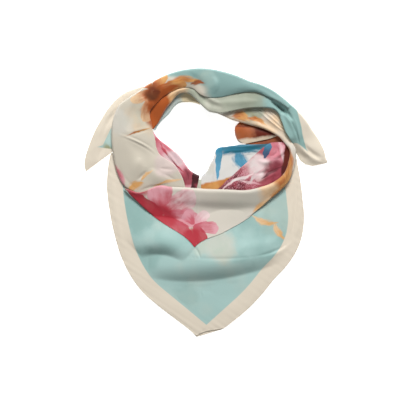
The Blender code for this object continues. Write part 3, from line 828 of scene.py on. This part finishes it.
# Its inner edge lies further in and higher than the CAD's, so that no slit shows beside it.
RIGHT_TAIL = [
    (16.6, 144, 19.8, 25, 22, 169.9, 2, 28, 1.5),
    (10.4, 146, 19.5, 24.5, 15, 182, 1.5, 22, 3),
    (5.5, 149, 19.5, 23.5, 9, 192, 1.5, 14, 3),
    (1.3, 155, 18.5, 22, 5, 198, 1.5, 8, 2),
    (-1, 159, 14, 17, 1, 206.5, 1.5, 4, 2),
    (-3.5, 163, 7, 10, -4.6, 217.7, 1.5, 3, 4),
    (-6, 167.5, 1.5, 5, -8, 222.5, 1.5, 2.5, 4),
    (-8.5, 172, 1.5, 2.5, -9.8, 226, 1.5, 1.8, 2),
    (-11.2, 178.5, 1.5, 1.8, -11.3, 215, 1.5, 1.5, 1),
    (-12.8, 188.5, 1.5, 1.5, -12.9, 202, 1.5, 1.5, 0),
]
LEFT_TAIL = [
    (185, 143, 1.5, 3, 195.3, 207, 1.5, 1.5, 2),
    (181, 143, 3, 3, 191.5, 206.5, 1.5, 1.5, 3),
    (176, 143, 3.5, 3.5, 187, 201, 1.5, 1.5, 3),
    (171, 143, 3.5, 3.5, 181.5, 193, 1.5, 2, 3),
    (166, 143, 3.5, 3.5, 175, 185, 1.5, 3, 3),
    (161, 143, 3.5, 3.5, 168, 177, 1.5, 4, 2),
    (156, 143, 3.5, 3.5, 160, 169.5, 1.5, 4, 2),
    (151, 141, 3.5, 3.5, 153, 162.5, 1.5, 4, 1),
    (146, 136, 3.5, 3.5, 146.5, 154, 1.5, 4, 0.5),
    (142, 132, 3.5, 3.5, 140.5, 143.5, 1.5, 3.5, 0),
    (138, 129, 3, 3.5, 136, 137, 1.5, 3, 0),
]
UNDER_BAND = level(1.6, rows=[
    (168, 80, 164, 98, 8.5), (155, 75.5, 154, 100, 8.6), (140, 71, 140, 100, 8.8),
    (122, 74.5, 124, 100, 8.8), (108, 70, 109, 98, 8.8), (98, 66, 99, 90, 8.8),
    (90, 62, 91, 80, 8.6),
])
INNER_STRIP = level(1.6, in_top=8.5, rows=[
    (170, 82, 167, 96, 8.8), (178, 72, 177, 90, 9), (188.6, 58.4, 188, 86, 9),
    (204, 47.8, 202, 83, 9), (222, 44.6, 216, 75, 9), (237, 48, 229, 72, 9),
    (251, 54.5, 243, 80, 9), (260, 58, 253, 92, 9), (269.5, 61.5, 265, 94, 9),
])
INNER_FLAP = level(1.6, rows=[
    (272, 63, 271, 92, 8.1), (281, 56, 281, 94, 8.1), (292, 45.5, 292, 98, 8.1),
    (305, 39, 305, 93, 8.1), (320, 34, 318, 93, 8.1), (331, 32.5, 330, 97, 8.1),
    (341, 37, 341, 104, 8.1), (349, 52, 350, 113, 8.1), (353.8, 71, 357, 122, 8.1),
])
INNER_LINING = level(9.8, rows=[
    (287, 92, 287, 100, 10), (296, 88, 295, 106, 10.2), (304, 84, 304, 114, 10.4, 0.3),
    (315, 84, 314, 130, 10.4, 0.6), (325, 85.4, 323, 144, 10.4, 0.8),
    (334, 90, 333, 155, 10.4, 0.8), (342, 95.7, 342, 161, 10.4, 0.8),
    (349, 104, 348, 161, 10.4, 0.8), (355, 114, 354, 158, 10.4, 0.5),
    (358, 124, 359, 150, 10.2, 0.3),
])
# The roll lies along its own axis, so its sections run across it, from its front to its back.
INNER_ROLL = [
    (8, 62, 2, 5, 16, 62.5, 2, 5, 1),
    (359, 66, 2, 7.5, 22, 67, 2, 7.5, 2.5),
    (355.5, 75, 8.3, 8.5, 25, 80, 8.3, 8.5, 3),
    (357.5, 90, 8.3, 8.5, 20, 95, 8.3, 8.5, 3),
    (359.5, 105, 8.3, 8.5, 13, 110, 8.3, 8.5, 2.5),
    (1, 120, 8.3, 8.5, 8.5, 122, 8.3, 8.5, 2),
    (3, 134, 8.3, 8.5, 5.5, 134, 8.3, 8.5, 1.5),
]
# The front point's outline, and the radius at which its leaves end under the ring.
PointRow = namedtuple("PointRow", "deg out_r in_r", defaults=(143,))
FRONT_POINT = [
    (188.3, 157.2), (190, 160), (195, 166), (201, 173.8), (207, 182.8), (213, 191.8), (220, 204.5),
    (228, 223), (236, 246), (243, 266.5), (249, 283), (255, 296.5), (261, 312), (265, 325),
    (267, 332.8), (268.3, 338.8), (269, 341.5), (269.9, 338.5), (272, 334.2), (274.7, 332.4),
    (277.3, 330.6), (281, 320), (286, 306.2), (292, 290), (298, 275.5), (304, 267.5),
    (310, 258.5, 145), (316, 246.5, 148), (323, 228, 152), (330, 207.5, 158), (337, 191.5, 163),
    (345, 177.5, 163), (353, 168, 162.5),
]
# Where the under leaf shows past the upper one, at the tip: its outer radius by the angle.
UNDER_LEAF_TIP = {268.3: 339.6, 269: 343.4, 269.9: 342.3, 272: 338.9, 274.7: 335, 277.3: 331.2}
# How far in and out the hidden layers reach, in even turns round the opening from 0 degrees.
HIDDEN_LAYERS = [
    (86, 148), (83, 141), (84, 142), (68, 132), (60, 122), (59, 118), (69, 118), (75, 118),
    (81, 120), (78, 124), (80, 132), (86, 138), (76, 139), (60, 139), (52, 139), (51, 139),
    (56, 139), (62, 139), (67, 139), (58, 139), (48, 139), (44, 143), (43, 152), (60, 158),
]
# Corners of the plain border's inner line on the left tail, round the ground inside it.
LEFT_GROUND = [(-166, 129), (-180, 100), (-190, 97), (-166, 93.6), (-140, 96), (-140, 140)]
# The crown's own ground runs on into the right tail, and has no border before it.
CROWN_GROUND = [
    (158, 161.9), (163.2, 142.6), (166.7, 130.4), (168.4, 118.1), (171.9, 105.9), (175.4, 93.6),
    (178.9, 88.4), (168.4, 97.1), (161.4, 102.4), (154.4, 104.1), (60, 20), (-300, -60),
    (-300, 300), (160, 300),
]
# Where the crown's two folds run together into one leaf, down the right tail.
VALLEY = [
    (143, 163.5), (152.5, 156.5), (159.5, 146), (164, 132), (167, 116.5), (170.5, 99), (176, 81),
    (184, 66),
]
# The flat cut of each stretch that shows: its width and length in millimetres round the
# outside, and its own area in square centimetres, how it is held and what it rests on.
ON_STACK = ("folded", "hidden_stack")
Cut = namedtuple("Cut", "piece width length area held rests_on", defaults=ON_STACK)
CUTS = [
    ("front_leaf", 300, 360, 600, "laid", "front_under_leaf"),
    ("front_under_leaf", 300, 360, 578, "laid", "floor"),
    ("hidden_stack", 370, 370, 517, "folded", "floor"),
    ("cowl_band", 107, 531, 260),
    ("crown_band", 104, 585, 347),
    ("lower_fold", 58, 393, 119),
    ("left_tail_end", 72, 162, 54),
    ("under_edge", 34, 108, 34),
    ("strip_edge", 41, 127, 41),
    ("flap_fold", 72, 118, 63),
    ("lining_face", 66, 150, 69),
    ("roll_end", 41, 76, 22),
]

# ---- folds

# Each row is a Fold, in millimetres.
COWL_FOLDS = [
    (-62, 0, 30, -13, 108, -9, 17, -4.8, 0.33),
    (-20, -46, 30, -44, 90, -16, 11, 1.6),
    (-120, 20, -96, 6, -52, -24, 9, 1.4, -0.3),
    (-63, 22, -45, -4, -28, -52, 8, 0.9, 0.3),
    (133, 43, 112, 11, 69, -24, 6, -1.2),
    (152, 98, 156, 68, 142, 36, 5, -1.4),
    (146, 92, 149, 66, 134, 38, 3, 0.9),
    (87, 165, 114, 141, 140, 121, 1.9, 2.0, 0.4),
    (95, 165, 121, 143, 143, 121, 1.7, 1.8, 0.4),
    (103, 165, 128, 144, 146, 119, 1.6, 1.6, 0.4),
    (74, 152, 104, 137, 140, 112, 5, -1.8),
    (60, 146, 96, 133, 130, 112, 4, 1.4),
]
CROWN_FOLDS = [
    (104, 185, 128, 173, 146, 158, 5, 1.6),
    (-158, 120, -114, 103.5, -86, 84, 1.7, 1.3),
    (-156, 123, -113, 106.8, -84, 87, 1.7, -0.6),
    (-156, 117, -115, 100, -88, 80.5, 1.5, -0.6),
    (-137, 119, -117, 126, -93, 130, 2.0, 0.8, -0.4),
    (-134, 115, -114, 122.5, -93, 127, 1.9, -1.0),
    (-116, 182, -128, 150, -135, 124, 9, -2.8),
    (-105, 160, -108, 145, -96, 130, 5, -1.4),
    (-143, 185, -157, 158, -157, 127, 8, 2.0),
    (-140, 105, -112, 88, -104, 62, 12, -2.0),
    (-101, 56, -111, 46, -120, 38, 2.4, -1.8, 0.3),
    (-96, 60, -84, 46, -62, 40, 10, 2.6, 0.2),
    (-80, 60, -66, 58, -50, 58, 3, -1.6),
    (-72, 50, -62, 44, -52, 40, 2.2, -1.2),
    (-154, 72, -145, 48, -122, 24, 3, -1.4),
    (-115, 78, -122, 57, -127, 33, 8, 1.8),
    (-118, 18, -96, 27, -62, 32, 2.6, -1.2),
    (-31, 226, -10, 207, -3, 190, 9, -2.4, 0.2),
    (11, 218, 18, 204, 14, 189, 6, 1.8, 0.2),
    (-115, 194, -98, 180, -78, 170, 6, -2.4),
    (-70, 219, -50, 206, -40, 190, 8, 1.8, 0.3),
    (60, 214, 100, 200, 132, 176, 7, -1.6),
    (66, 194, 96, 190, 124, 174, 6, 1.4),
]
LOWER_FOLD_FOLDS = [
    (-66, 179, -52, 192, -26, 199, 4, 2.0),
    (-17, 194, 2, 175, 30, 165, 6, -2.2),
    (-8, 196, 8, 180, 26, 172, 4, 1.4),
    (11, 172, 53, 174, 91, 176, 6, 1.4),
]
RIGHT_TAIL_FOLDS = [
    (124, 170, 144, 144, 160, 108, 3.6, 3.2, 0.1),
    (146, 149, 156, 123, 163, 102, 2.2, -2.4),
    (153, 148, 160, 127, 164, 104, 2.4, 1.8),
    (163, 100, 182, 80, 206, 70, 5, 3.4, 0.2),
    (170, 104, 186, 86, 207, 78, 4.5, -2.8),
    (165, 148, 186, 120, 200, 85, 8, 1.4),
]
# The pocket under the end of the crown's upper fold.
POCKET_FOLDS = [(112, 176, 134, 162, 151, 142, 4.5, -8)]
# The valley where the crown's two folds run together, which three pieces share.
VALLEY_FOLDS = [(114, 174, 138, 156, 157, 119, 6, -3.4, 0.75)]
LEFT_TAIL_FOLDS = [
    (-136, 197, -178, 141, -197, 78, 8, 2.2, 0.2),
    (-164, 132, -178, 99, -189, 74, 5, -2.0),
    (-150, 168, -170, 142, -180, 118, 5, -1.4),
]
STRIP_FOLDS = [
    (-82, 100, -62, 82, -44, 56, 2.6, 1.6, 0.2),
    (-72, 82, -54, 66, -40, 44, 2, -1.2),
    (-38, 58, -32, 46, -34, 32, 1.6, -1.6),
    (-24, 52, -23, 40, -23, 28, 1.4, -1.4),
]
FLAP_FOLDS = [
    (16, 92, 16, 60, 13, 28, 1.8, 1.6, 0.4),
    (20, 88, 60, 88, 108, 100, 2.4, -1.2),
    (30, 96, 70, 98, 112, 103, 2.6, 1.2),
    (58, 90, 70, 74, 80, 56, 2.4, -1.0),
]
LINING_FOLDS = [
    (131, 112, 136, 92, 118, 76, 4.5, 3.4, 0.2),
    (118, 75, 104, 70, 90, 74, 4, 1.6),
    (122, 100, 125, 88, 112, 80, 2.6, -1.8),
    (70, 60, 52, 44, 40, 28, 2.4, -1.2),
    (88, 56, 74, 40, 60, 26, 2.6, 1.2),
    (132, 64, 110, 54, 84, 50, 3.2, -1.6),
    (128, 52, 108, 44, 90, 34, 3, 1.4),
]
FRONT_FOLDS = [
    (-100, -110, 12, -104, 140, -80, 31, 15, -0.2, 1),
    (-121, -86, -78, -68, -30, -92, 20, 14, -0.1, 1),
    (-36, -94, 30, -98, 98, -92, 1.8, -0.9),
    (88, -93, 118, -86, 146, -70, 2.4, -1.6),
    (-20, -76, -14, -86, -9, -97, 2.0, -1.5),
    (60, -80, 105, -72, 142, -58, 10, 1.0),
    (118, -93, 140, -80, 161, -63, 5, 1.4),
    (-52, -157, -31, -166, -6, -159, 9, -2.6),
    (-60, -146, 10, -150, 60, -138, 8, -0.8),
    (154, 84, 159, 22, 151, -54, 3.4, -5),
    (165, 56, 168, -4, 158, -66, 4.5, 5, 0.2),
    (-166, 66, -163, -4, -144, -82, 6, 3, -0.2),
    (-172, 20, -168, -14, -156, -40, 3, -3),
]
# Unevenness: seed, length of the waves, their rise, the way they run and how much that varies.
FRONT_WAVES = [(3, 60, 0.5, 20, 60)]

# ---- the print, with the shade and light painted into it

# Ordinary flowers, brush strokes, washes and grounds, a few of them painted shade, painted shadow,
# painted light and painted highlights as marked: where each lies on the cut, in millimetres, its half
# length, its half width or softness, its turn, and its two colours.
RED_FLOWER = [
    (96, 30, 27, ROSE, PINK),
    (34, 34, 24, ROSE, BLUSH),
    (160, 40, 24, CRIMSON),
    (-10, 33, 20, ROSE, PINK),
    (-48, 40, 20, CRIMSON, ROSE),
    (-118, 30, 26, CRIMSON),
]
SMALL_FLOWER = [
    (46, 17, 13, PINK, BLUSH),
    (-8, 22, 14, ROSE, PINK),
    (-62, 19, 15, ROSE, CRIMSON),
    (125, 15, 13, ROSE, PINK),
]
RUST_FLOWER = [
    (62, 19, 15, RUST, OCHRE),
    (6, 28, 13, RUST, OCHRE),
    (140, 25, 12, RUST, OCHRE),
    (200, 22, 12, RUST, PEACH),
    (252, 26, 16, RUST, PEACH),
    (300, 25, 16, EMBER, RUST),
]
COWL_PRINT_AND_SHADE = [
    (wash, 60, 10, 60, 0.3, 0, GROUND, PALE_GREEN),
    (wash, 124, 28, 36, 0.8, 0, PEACH, OCHRE),
    (field, 118, 112, 12, 16, 75, PEACH, GROUND),
    # partly print, partly painted shade: the olive wash where the right side runs under the lower
    # fold
    (wash, 86, 158, 22, 0.95, 0, OLIVE, GREY_GREEN),
    (stroke, 62, 152, 18, 11, -10, RUST, OCHRE),
    (stroke, 90, 143, 20, 6, -22, RUST, OCHRE),
    (wash, 134, 38, 20, 0.9, 0, OCHRE, RUST),
    (stroke, 142, 66, 44, 13, -84, RUST, OCHRE),
    (stroke, 126, 16, 36, 11, 54, RUST, OCHRE),
    (stroke, 100, -4, 26, 8, 34, OCHRE, PEACH),
    (wash, -120, 20, 24, 0.95, 0, CRIMSON, ROSE),
    (wash, -122, -4, 22, 0.95, 0, CRIMSON),
    *flower(-74, -22, RED_FLOWER),
    (wash, -78, -26, 30, 0.9, 0, CRIMSON),
    *flower(-20, -42, SMALL_FLOWER),
    (wash, -26, -62, 19, 0.95, 0, CRIMSON),
]
CROWN_PRINT_AND_HIGHLIGHTS = [
    (field, -62, 210, 8, 10, 74, DARK_DUCK),
    (field, -2, 190, 12, 18, 12, DARK_DUCK),
    # painted highlight: a paler wash on the crown's upper fold
    (wash, 0, 204, 18, 0.35, 0, DUCK_EGG, PALE_GREEN),
    (field, 128, 160, 10, 40, -20, DEEP_DUCK),
    (wash, -100, 150, 34, 0.5, 0, PEACH, PALE_GREEN),
    # painted highlight: a pale chalk wash on the left side's outer swell
    (wash, -152, 140, 26, 0.35, 0, CHALK, GREY_GREEN),
    (wash, -68, 66, 26, 0.5, 0, BLUSH, LILAC),
    (wash, -76, 166, 34, 0.95, 0, RUST),
    (wash, -84, 142, 18, 0.9, 0, RUST),
    (stroke, -36, 203, 30, 8, 2, RUST, OCHRE),
    *flower(-86, 188, RUST_FLOWER),
    (wash, -78, 160, 30, 0.9, 0, DEEP_RUST, RUST),
    (stroke, -64, 184, 30, 9, 30, DEEP_RUST, RUST),
    (wash, -88, 184, 15, 0.9, 0, UMBER, EMBER),
    (stroke, -14, 198, 13, 5, 4, UMBER, RUST),
    (stroke, -115, 123, 26, 2.2, 18, RUST, OCHRE),
    (stroke, -124, 30, 17, 11, 26, OCHRE),
    (stroke, -104, 48, 17, 4, 44, OCHRE, PEACH),
    (stroke, -66, 37, 30, 3.5, 14, OCHRE, PEACH),
    (stroke, -148, 42, 30, 7, -70, ROSE, PINK),
]
LOWER_FOLD_PRINT = [
    (field, 92, 178, 10, 26, -28, DEEP_DUCK),
    (field, -36, 192, 10, 16, 170, PEACH),
    (field, -62, 178, 8, 14, 200, RUST),
    (wash, -52, 178, 18, 0.6, 0, OCHRE),
    (wash, 24, 170, 40, 0.5, 0, GROUND, PALE_GREEN),
    (wash, 62, 178, 50, 0.75, 0, MOSS, SAGE),
]
FRONT_PRINT_AND_SHADE = [
    (wash, -112, -14, 46, 0.6, 0, SEA, DEEP_DUCK),
    (wash, -60, -62, 34, 0.4, 0, SEA, DEEP_DUCK),
    (wash, 96, -58, 58, 0.8, 0, DEEP_DUCK, DUCK_EGG),
    # painted shade: a darker sea wash on the swag's left wall, which faces away from the light
    (wash, -102, -98, 26, 0.55, 0, SEA, DEEP_DUCK),
    (wash, 24, -76, 38, 0.7, 0, PALE_GREEN, GROUND),
    (wash, 128, -20, 40, 0.3, 0, PALE_GREEN, GREY_GREEN),
    # painted shade: a faint sea wash in the shallow dimple near the tip
    (wash, -31, -164, 26, 0.35, 0, SEA, DEEP_DUCK),
    (stroke, 102, -34, 26, 7, 164, OCHRE, PEACH),
    (stroke, 127, -52, 20, 7, 128, OCHRE, PEACH),
]
STRIP_PRINT_AND_SHADE = [
    (wash, -78, 96, 22, 0.9, 0, ROSE, PINK),
    (wash, -58, 74, 20, 0.85, 0, BLUSH, LILAC),
    (wash, -34, 42, 20, 0.95, 0, PLUM, ROSE),
    (stroke, -76, 92, 18, 2.5, 120, CRIMSON, ROSE),
    (stroke, -52, 62, 20, 2, 136, CRIMSON, ROSE),
    # partly print, partly painted shade: the dark maroon on the lower inner wall
    (field, -24, 46, 2, 2, -8, MAROON),
    (wash, -10, 24, 14, 0.9, 0, ROSE, PLUM),
]
FLAP_PRINT = [
    (wash, 8, 60, 14, 0.5, 0, PALE_GREEN, GROUND),
    (stroke, 64, 70, 30, 15, 122, SKY, TEAL),
    (stroke, 78, 98, 62, 15, 8, NAVY, DARK_TEAL),
    (stroke, 60, 95, 50, 13, 3, TEAL, DARK_TEAL),
    (stroke, 24, 92, 13, 8, 30, DARK_TEAL, TEAL),
    (petal, 24, 70, 34, 7, 86, SKY, TEAL),
    (stroke, -4, 54, 28, 5, 58, NAVY),
    (field, 26, 38, 4, 4, -76, OCHRE, RUST),
]
LINING_PRINT_AND_SHADOW = [
    (wash, 92, 62, 26, 0.95, 0, BLUSH, CHALK),
    (wash, 124, 86, 26, 0.9, 0, ROSE, PINK),
    (stroke, 133, 92, 24, 5, -76, PINK, BLUSH),
    (wash, 46, 34, 34, 0.9, 0, PLUM, MAROON),
    (wash, 122, 50, 22, 0.9, 0, PLUM, ROSE),
    (threads, 60, 40, 44, 14, 40, PINK, ROSE),
    (stroke, 44, 34, 26, 3, 34, BLUSH, PINK),
    (stroke, 62, 42, 30, 3.5, 20, CHALK, BLUSH),
    (stroke, 78, 36, 24, 3, -8, BLUSH, PINK),
    (stroke, 88, 48, 22, 3.5, 44, CHALK, PINK),
    (stroke, 116, 54, 26, 4, 30, MAROON, PLUM),
    (petal, 106, 92, 16, 8, 78, NAVY, TEAL),
    # painted shadow: dark ember in the gap along the right side's inner edge
    (field, 138, 96, 5, 5, -8, EMBER, MAROON),
]
ROLL_PRINT_AND_SHADE = [
    (wash, 70, 124, 22, 0.6, 0, RUST, UMBER),
    # painted shade over the rust print: deep ember where the roll runs under the right side
    (wash, 108, 122, 30, 1, 0, EMBER),
    (field, 74, 110, 6, 6, -82, PEACH, CREAM),
    # painted shade: an ember stroke along the roll's back edge, under the right side's edge
    (stroke, 74, 134, 26, 4, 0, EMBER, RUST),
]
TAIL_SHADE = [(wash, -172, 86, 16, 0.9, 0, OLIVE)]
STACK_PRINT = [(wash, 108, 112, 44, 0.95, 0, RUST, EMBER)]
# partly print, partly painted light: a pale tan wash that lifts the crown's shadow on the under band
UNDER_PRINT_AND_LIGHT = [(wash, -24, 182, 30, 0.8, 0, DRAB)]

# ---- the pieces


def puckers(place, edge, seed):
    """Little slanting waves that a rolled hem draws up along its edge."""
    x, y = place[..., 0], place[..., 1]
    run = x * 0.55 + y * 0.83
    other = x * 0.83 - y * 0.55
    wave = np.sin(run * 0.52 + 2.2 * np.sin(run * 0.043 + seed)) * np.sin(run * 0.11 + seed)
    wave += 0.6 * np.sin(other * 0.43 + 2.0 * np.sin(other * 0.05)) * np.sin(other * 0.09)
    return PUCKER_RISE * wave * np.exp(-np.clip(edge, 0, None) / PUCKER_REACH)


def hem_thickness(edge):
    """The rolled hem: a rounded bead along the free edge, then one leaf."""
    share = np.clip(edge / HEM_ROLL, 0, 1)
    return LEAF + HEM_BEAD * np.sqrt(np.clip(1 - (2 * share - 1) ** 2, 0, 1)) * (share < 1)


def point_grid(table, rows, columns):
    """Flat places over one leaf of the front point, closer together near the hem."""
    s = PointRow(*spline([PointRow(*row) for row in table], rows).T)
    inner, outer = polar(s.deg, s.in_r), polar(s.deg, s.out_r)
    width = np.linalg.norm(outer - inner, axis=1)[:, None]
    even = np.linspace(0, 1, columns)[None, :] * (1 - INNER_SPOTS / width)
    share = np.concatenate([even, 1 - np.array(HEM_SPOTS) / width], axis=1)
    return across(inner, outer, share), outer, s.deg


def front_height(place):
    """How high the point's upper leaf lies, with its swags, away from its hem."""
    rise = sum(ridge(place, fold) for fold in FRONT_FOLDS)
    return LEAF_TOP - SAG + rise + sum(ripples(place, *waves) for waves in FRONT_WAVES)


def make_front(material):
    """The point's upper leaf with its swags, and the under leaf that shows past its tip."""
    place, outer, deg = point_grid(FRONT_POINT, *POINT_MESH)
    corner = np.array([POINT_CORNER])
    left = np.concatenate([outer[deg < LEFT_HEM_ENDS], corner])
    right = np.concatenate([corner, outer[deg > RIGHT_HEM_STARTS]])
    hem = np.minimum(distance_to(place, left), distance_to(place, right))
    edge = distance_to(place, outer)
    rise = (front_height(place) - LEAF_TOP) * np.clip(edge / FLAT_HEM, 0, 1) ** HEM_CALM
    rise += puckers(place, edge, 1.0)
    bead = hem_thickness(edge)
    height = np.maximum(LEAF_TOP + rise, LOWEST_LEAF) - EDGE_DROP * np.exp(-edge / EDGE_REACH)
    grid = raised(place, height + (bead - LEAF) * BEAD_ABOVE)
    cloth("front_leaf", grid, ["front_point"], material, hem, place, bead)

    upper = [PointRow(*row) for row in FRONT_POINT]
    under = [(r.deg, UNDER_LEAF_TIP.get(r.deg, r.out_r - UNDER_INSET), r.in_r) for r in upper]
    place, outer, _ = point_grid(under, *UNDER_MESH)
    edge = distance_to(place, outer)
    bead = hem_thickness(edge) * UNDER_THIN
    rise = UNDER_PUCKERS * puckers(place, edge, 2.0) * (edge > UNDER_FLAT)
    height = UNDER_TOP + rise + (bead - LEAF * UNDER_THIN) * UNDER_BEAD
    thick = np.minimum(bead, height - FLOOR_GAP)
    grid = raised(place, height)
    nodes = ["front_point_under_leaf"]
    cloth("front_under_leaf", grid, nodes, material, edge, place, thick)


def make_stack(material):
    """The hidden layers: leaves of cloth on each other, whose edges don't quite line up."""
    rows = spline(HIDDEN_LAYERS, STACK_SECTIONS, closed=True)
    degrees = np.linspace(0, 360, STACK_SECTIONS, endpoint=False)
    turn = np.radians(degrees)
    step = STACK_TOP / STACK_LEAVES
    lines = []
    for side, sign in ((0, 1), (1, -1)):
        profile = []
        for k in range(STACK_LEAVES):
            # Each leaf's edge wanders in and out in a way of its own.
            inset = 0.7 + 0.6 * np.sin(turn * (3 + k) + 2.1 * k + side) + 0.35 * k
            inset += 0.35 * np.sin(turn * (11 - k) + 1.3 * k)
            inset = np.maximum(inset, 0.05)
            profile += [(inset + far, (k + up) * step + lift) for far, up, lift in STACK_EDGE]
        profile.append((inset + 4.0, STACK_TOP))
        edge = [polar(degrees, rows[:, side] + sign * inset) for inset, _ in profile]
        edge = [raised(place, 0 * turn + z) for place, (_, z) in zip(edge, profile)]
        lines += edge[::sign]
    grid = np.stack(lines, axis=1)
    index = np.arange(grid.size // 3).reshape(grid.shape[:2])
    ahead, beside = np.roll(index, -1, 0), np.roll(index, -1, 1)
    quads = np.stack([index, ahead, np.roll(ahead, -1, 1), beside], -1).reshape(-1, 4)
    points = grid.reshape(-1, 3)
    nodes = ["hidden_layers"]
    flat = points[:, :2]
    solid("hidden_stack", points, quads, nodes, material, flat, STACK_CREASE)


def make_cowl():
    """The drape across the front and the right side, which lies on the front point."""
    waves = [(11, 50, 0.4, -10, 30)]
    grid = fan(
        FRONT_TO_RIGHT, (8, 52, 6), LIP_RIMS, COWL_FOLDS, waves,
        v_depth=V_DEPTH, settle=(0, 3.0), turn=(0.75, 1)
    )
    over_front = front_height(grid[..., :2]) + LEAF + LEAF_GAP
    grid[..., 2] = np.maximum(grid[..., 2], over_front)
    material = satin("print_and_shade_cowl", GROUND, COWL_PRINT_AND_SHADE)
    cloth("cowl_band", grid, ["front_cowl", "right_side"], material)


def make_crown():
    """The crown's two folds, which run together down the right tail on each side of a valley."""
    tail = {"rims": ROLL_RIMS, "uneven": [(14, 34, 0.4, -60, 30)], "shared": VALLEY_FOLDS}
    waves = [(12, 46, 0.4, 20, 50)]
    steps = (6, 52, 9)
    grid = fan(
        LEFT_TO_CROWN, steps, ROLL_RIMS, CROWN_FOLDS, waves,
        shared=VALLEY_FOLDS, settle=(1.8, 0), turn=(0.6, 1)
    )
    lower_end = fan(RIGHT_TAIL, steps, folds=RIGHT_TAIL_FOLDS, above=True, **tail)
    grid = np.concatenate([grid, lower_end[2:]])
    hem = from_hem(grid, CROWN_GROUND)
    material = satin("print_and_highlights_crown", PALE_GROUND, CROWN_PRINT_AND_HIGHLIGHTS, border=True)
    nodes = ["left_side", "crown_upper_fold", "right_tail"]
    cloth("crown_band", grid, nodes, material, hem)

    folds = LOWER_FOLD_FOLDS + POCKET_FOLDS
    waves = [(13, 30, 0.3, 0, 50)]
    steps = (8, 28, 2)
    grid = fan(
        CROWN_LOWER_FOLD, steps, folds=folds, uneven=waves, shared=VALLEY_FOLDS, settle=(0, -2.4)
    )
    folds = RIGHT_TAIL_FOLDS + POCKET_FOLDS
    lower_end = fan(RIGHT_TAIL, steps, folds=folds, above=False, **tail)
    grid = np.concatenate([grid, lower_end[2:]])
    hem = from_hem(grid, CROWN_GROUND)
    material = satin("print_lower_fold", SAGE, LOWER_FOLD_PRINT, border=True)
    cloth("lower_fold", grid, ["crown_lower_fold"], material, hem)


def make_ends():
    """The left tail, and what shows inside the ring."""
    grid = fan(LEFT_TAIL, (2, 24, 6), folds=LEFT_TAIL_FOLDS, uneven=[(15, 34, 0.4, 60, 30)])
    hem = from_hem(grid, LEFT_GROUND)
    material = satin("print_left_tail", DUCK_EGG, TAIL_SHADE, border=True)
    cloth("left_tail_end", grid, ["left_tail"], material, hem)
    grid = fan(UNDER_BAND, (7, 6, 2))
    material = satin("print_and_light_under_band", PALE_BLUE, UNDER_PRINT_AND_LIGHT)
    cloth("under_edge", grid, ["under_band"], material)
    grid = fan(INNER_STRIP, (7, 16, 2), folds=STRIP_FOLDS, uneven=[(16, 16, 0.3, -60, 25)])
    cloth("strip_edge", grid, ["inner_strip"], satin("print_and_shade_strip", PINK, STRIP_PRINT_AND_SHADE))
    grid = fan(INNER_FLAP, (7, 36, 2), folds=FLAP_FOLDS, uneven=[(17, 24, 0.3, 20, 40)])
    cloth("flap_fold", grid, ["inner_flap"], satin("print_flap", CHALK, FLAP_PRINT))
    grid = fan(INNER_LINING, (2, 44, 2), folds=LINING_FOLDS, uneven=[(18, 24, 0.3, 30, 40)])
    cloth("lining_face", grid, ["inner_lining"], satin("print_and_shadow_lining", WINE, LINING_PRINT_AND_SHADOW))
    grid = fan(INNER_ROLL, (7, 16, 7), uneven=[(19, 22, 0.3, 0, 20)])
    cloth("roll_end", grid, ["inner_roll"], satin("print_and_shade_roll", RUST, ROLL_PRINT_AND_SHADE))


make_camera()
make_studio()
make_stack(satin("print_stack", PALE_GREEN, STACK_PRINT))
make_front(satin("print_and_shade_front", DUCK_EGG, FRONT_PRINT_AND_SHADE, border=True))
make_cowl()
make_crown()
make_ends()

for row in CUTS:
    cut = Cut(*row)
    size = (cut.width * MM, cut.length * MM)
    cut.area * MM / 10
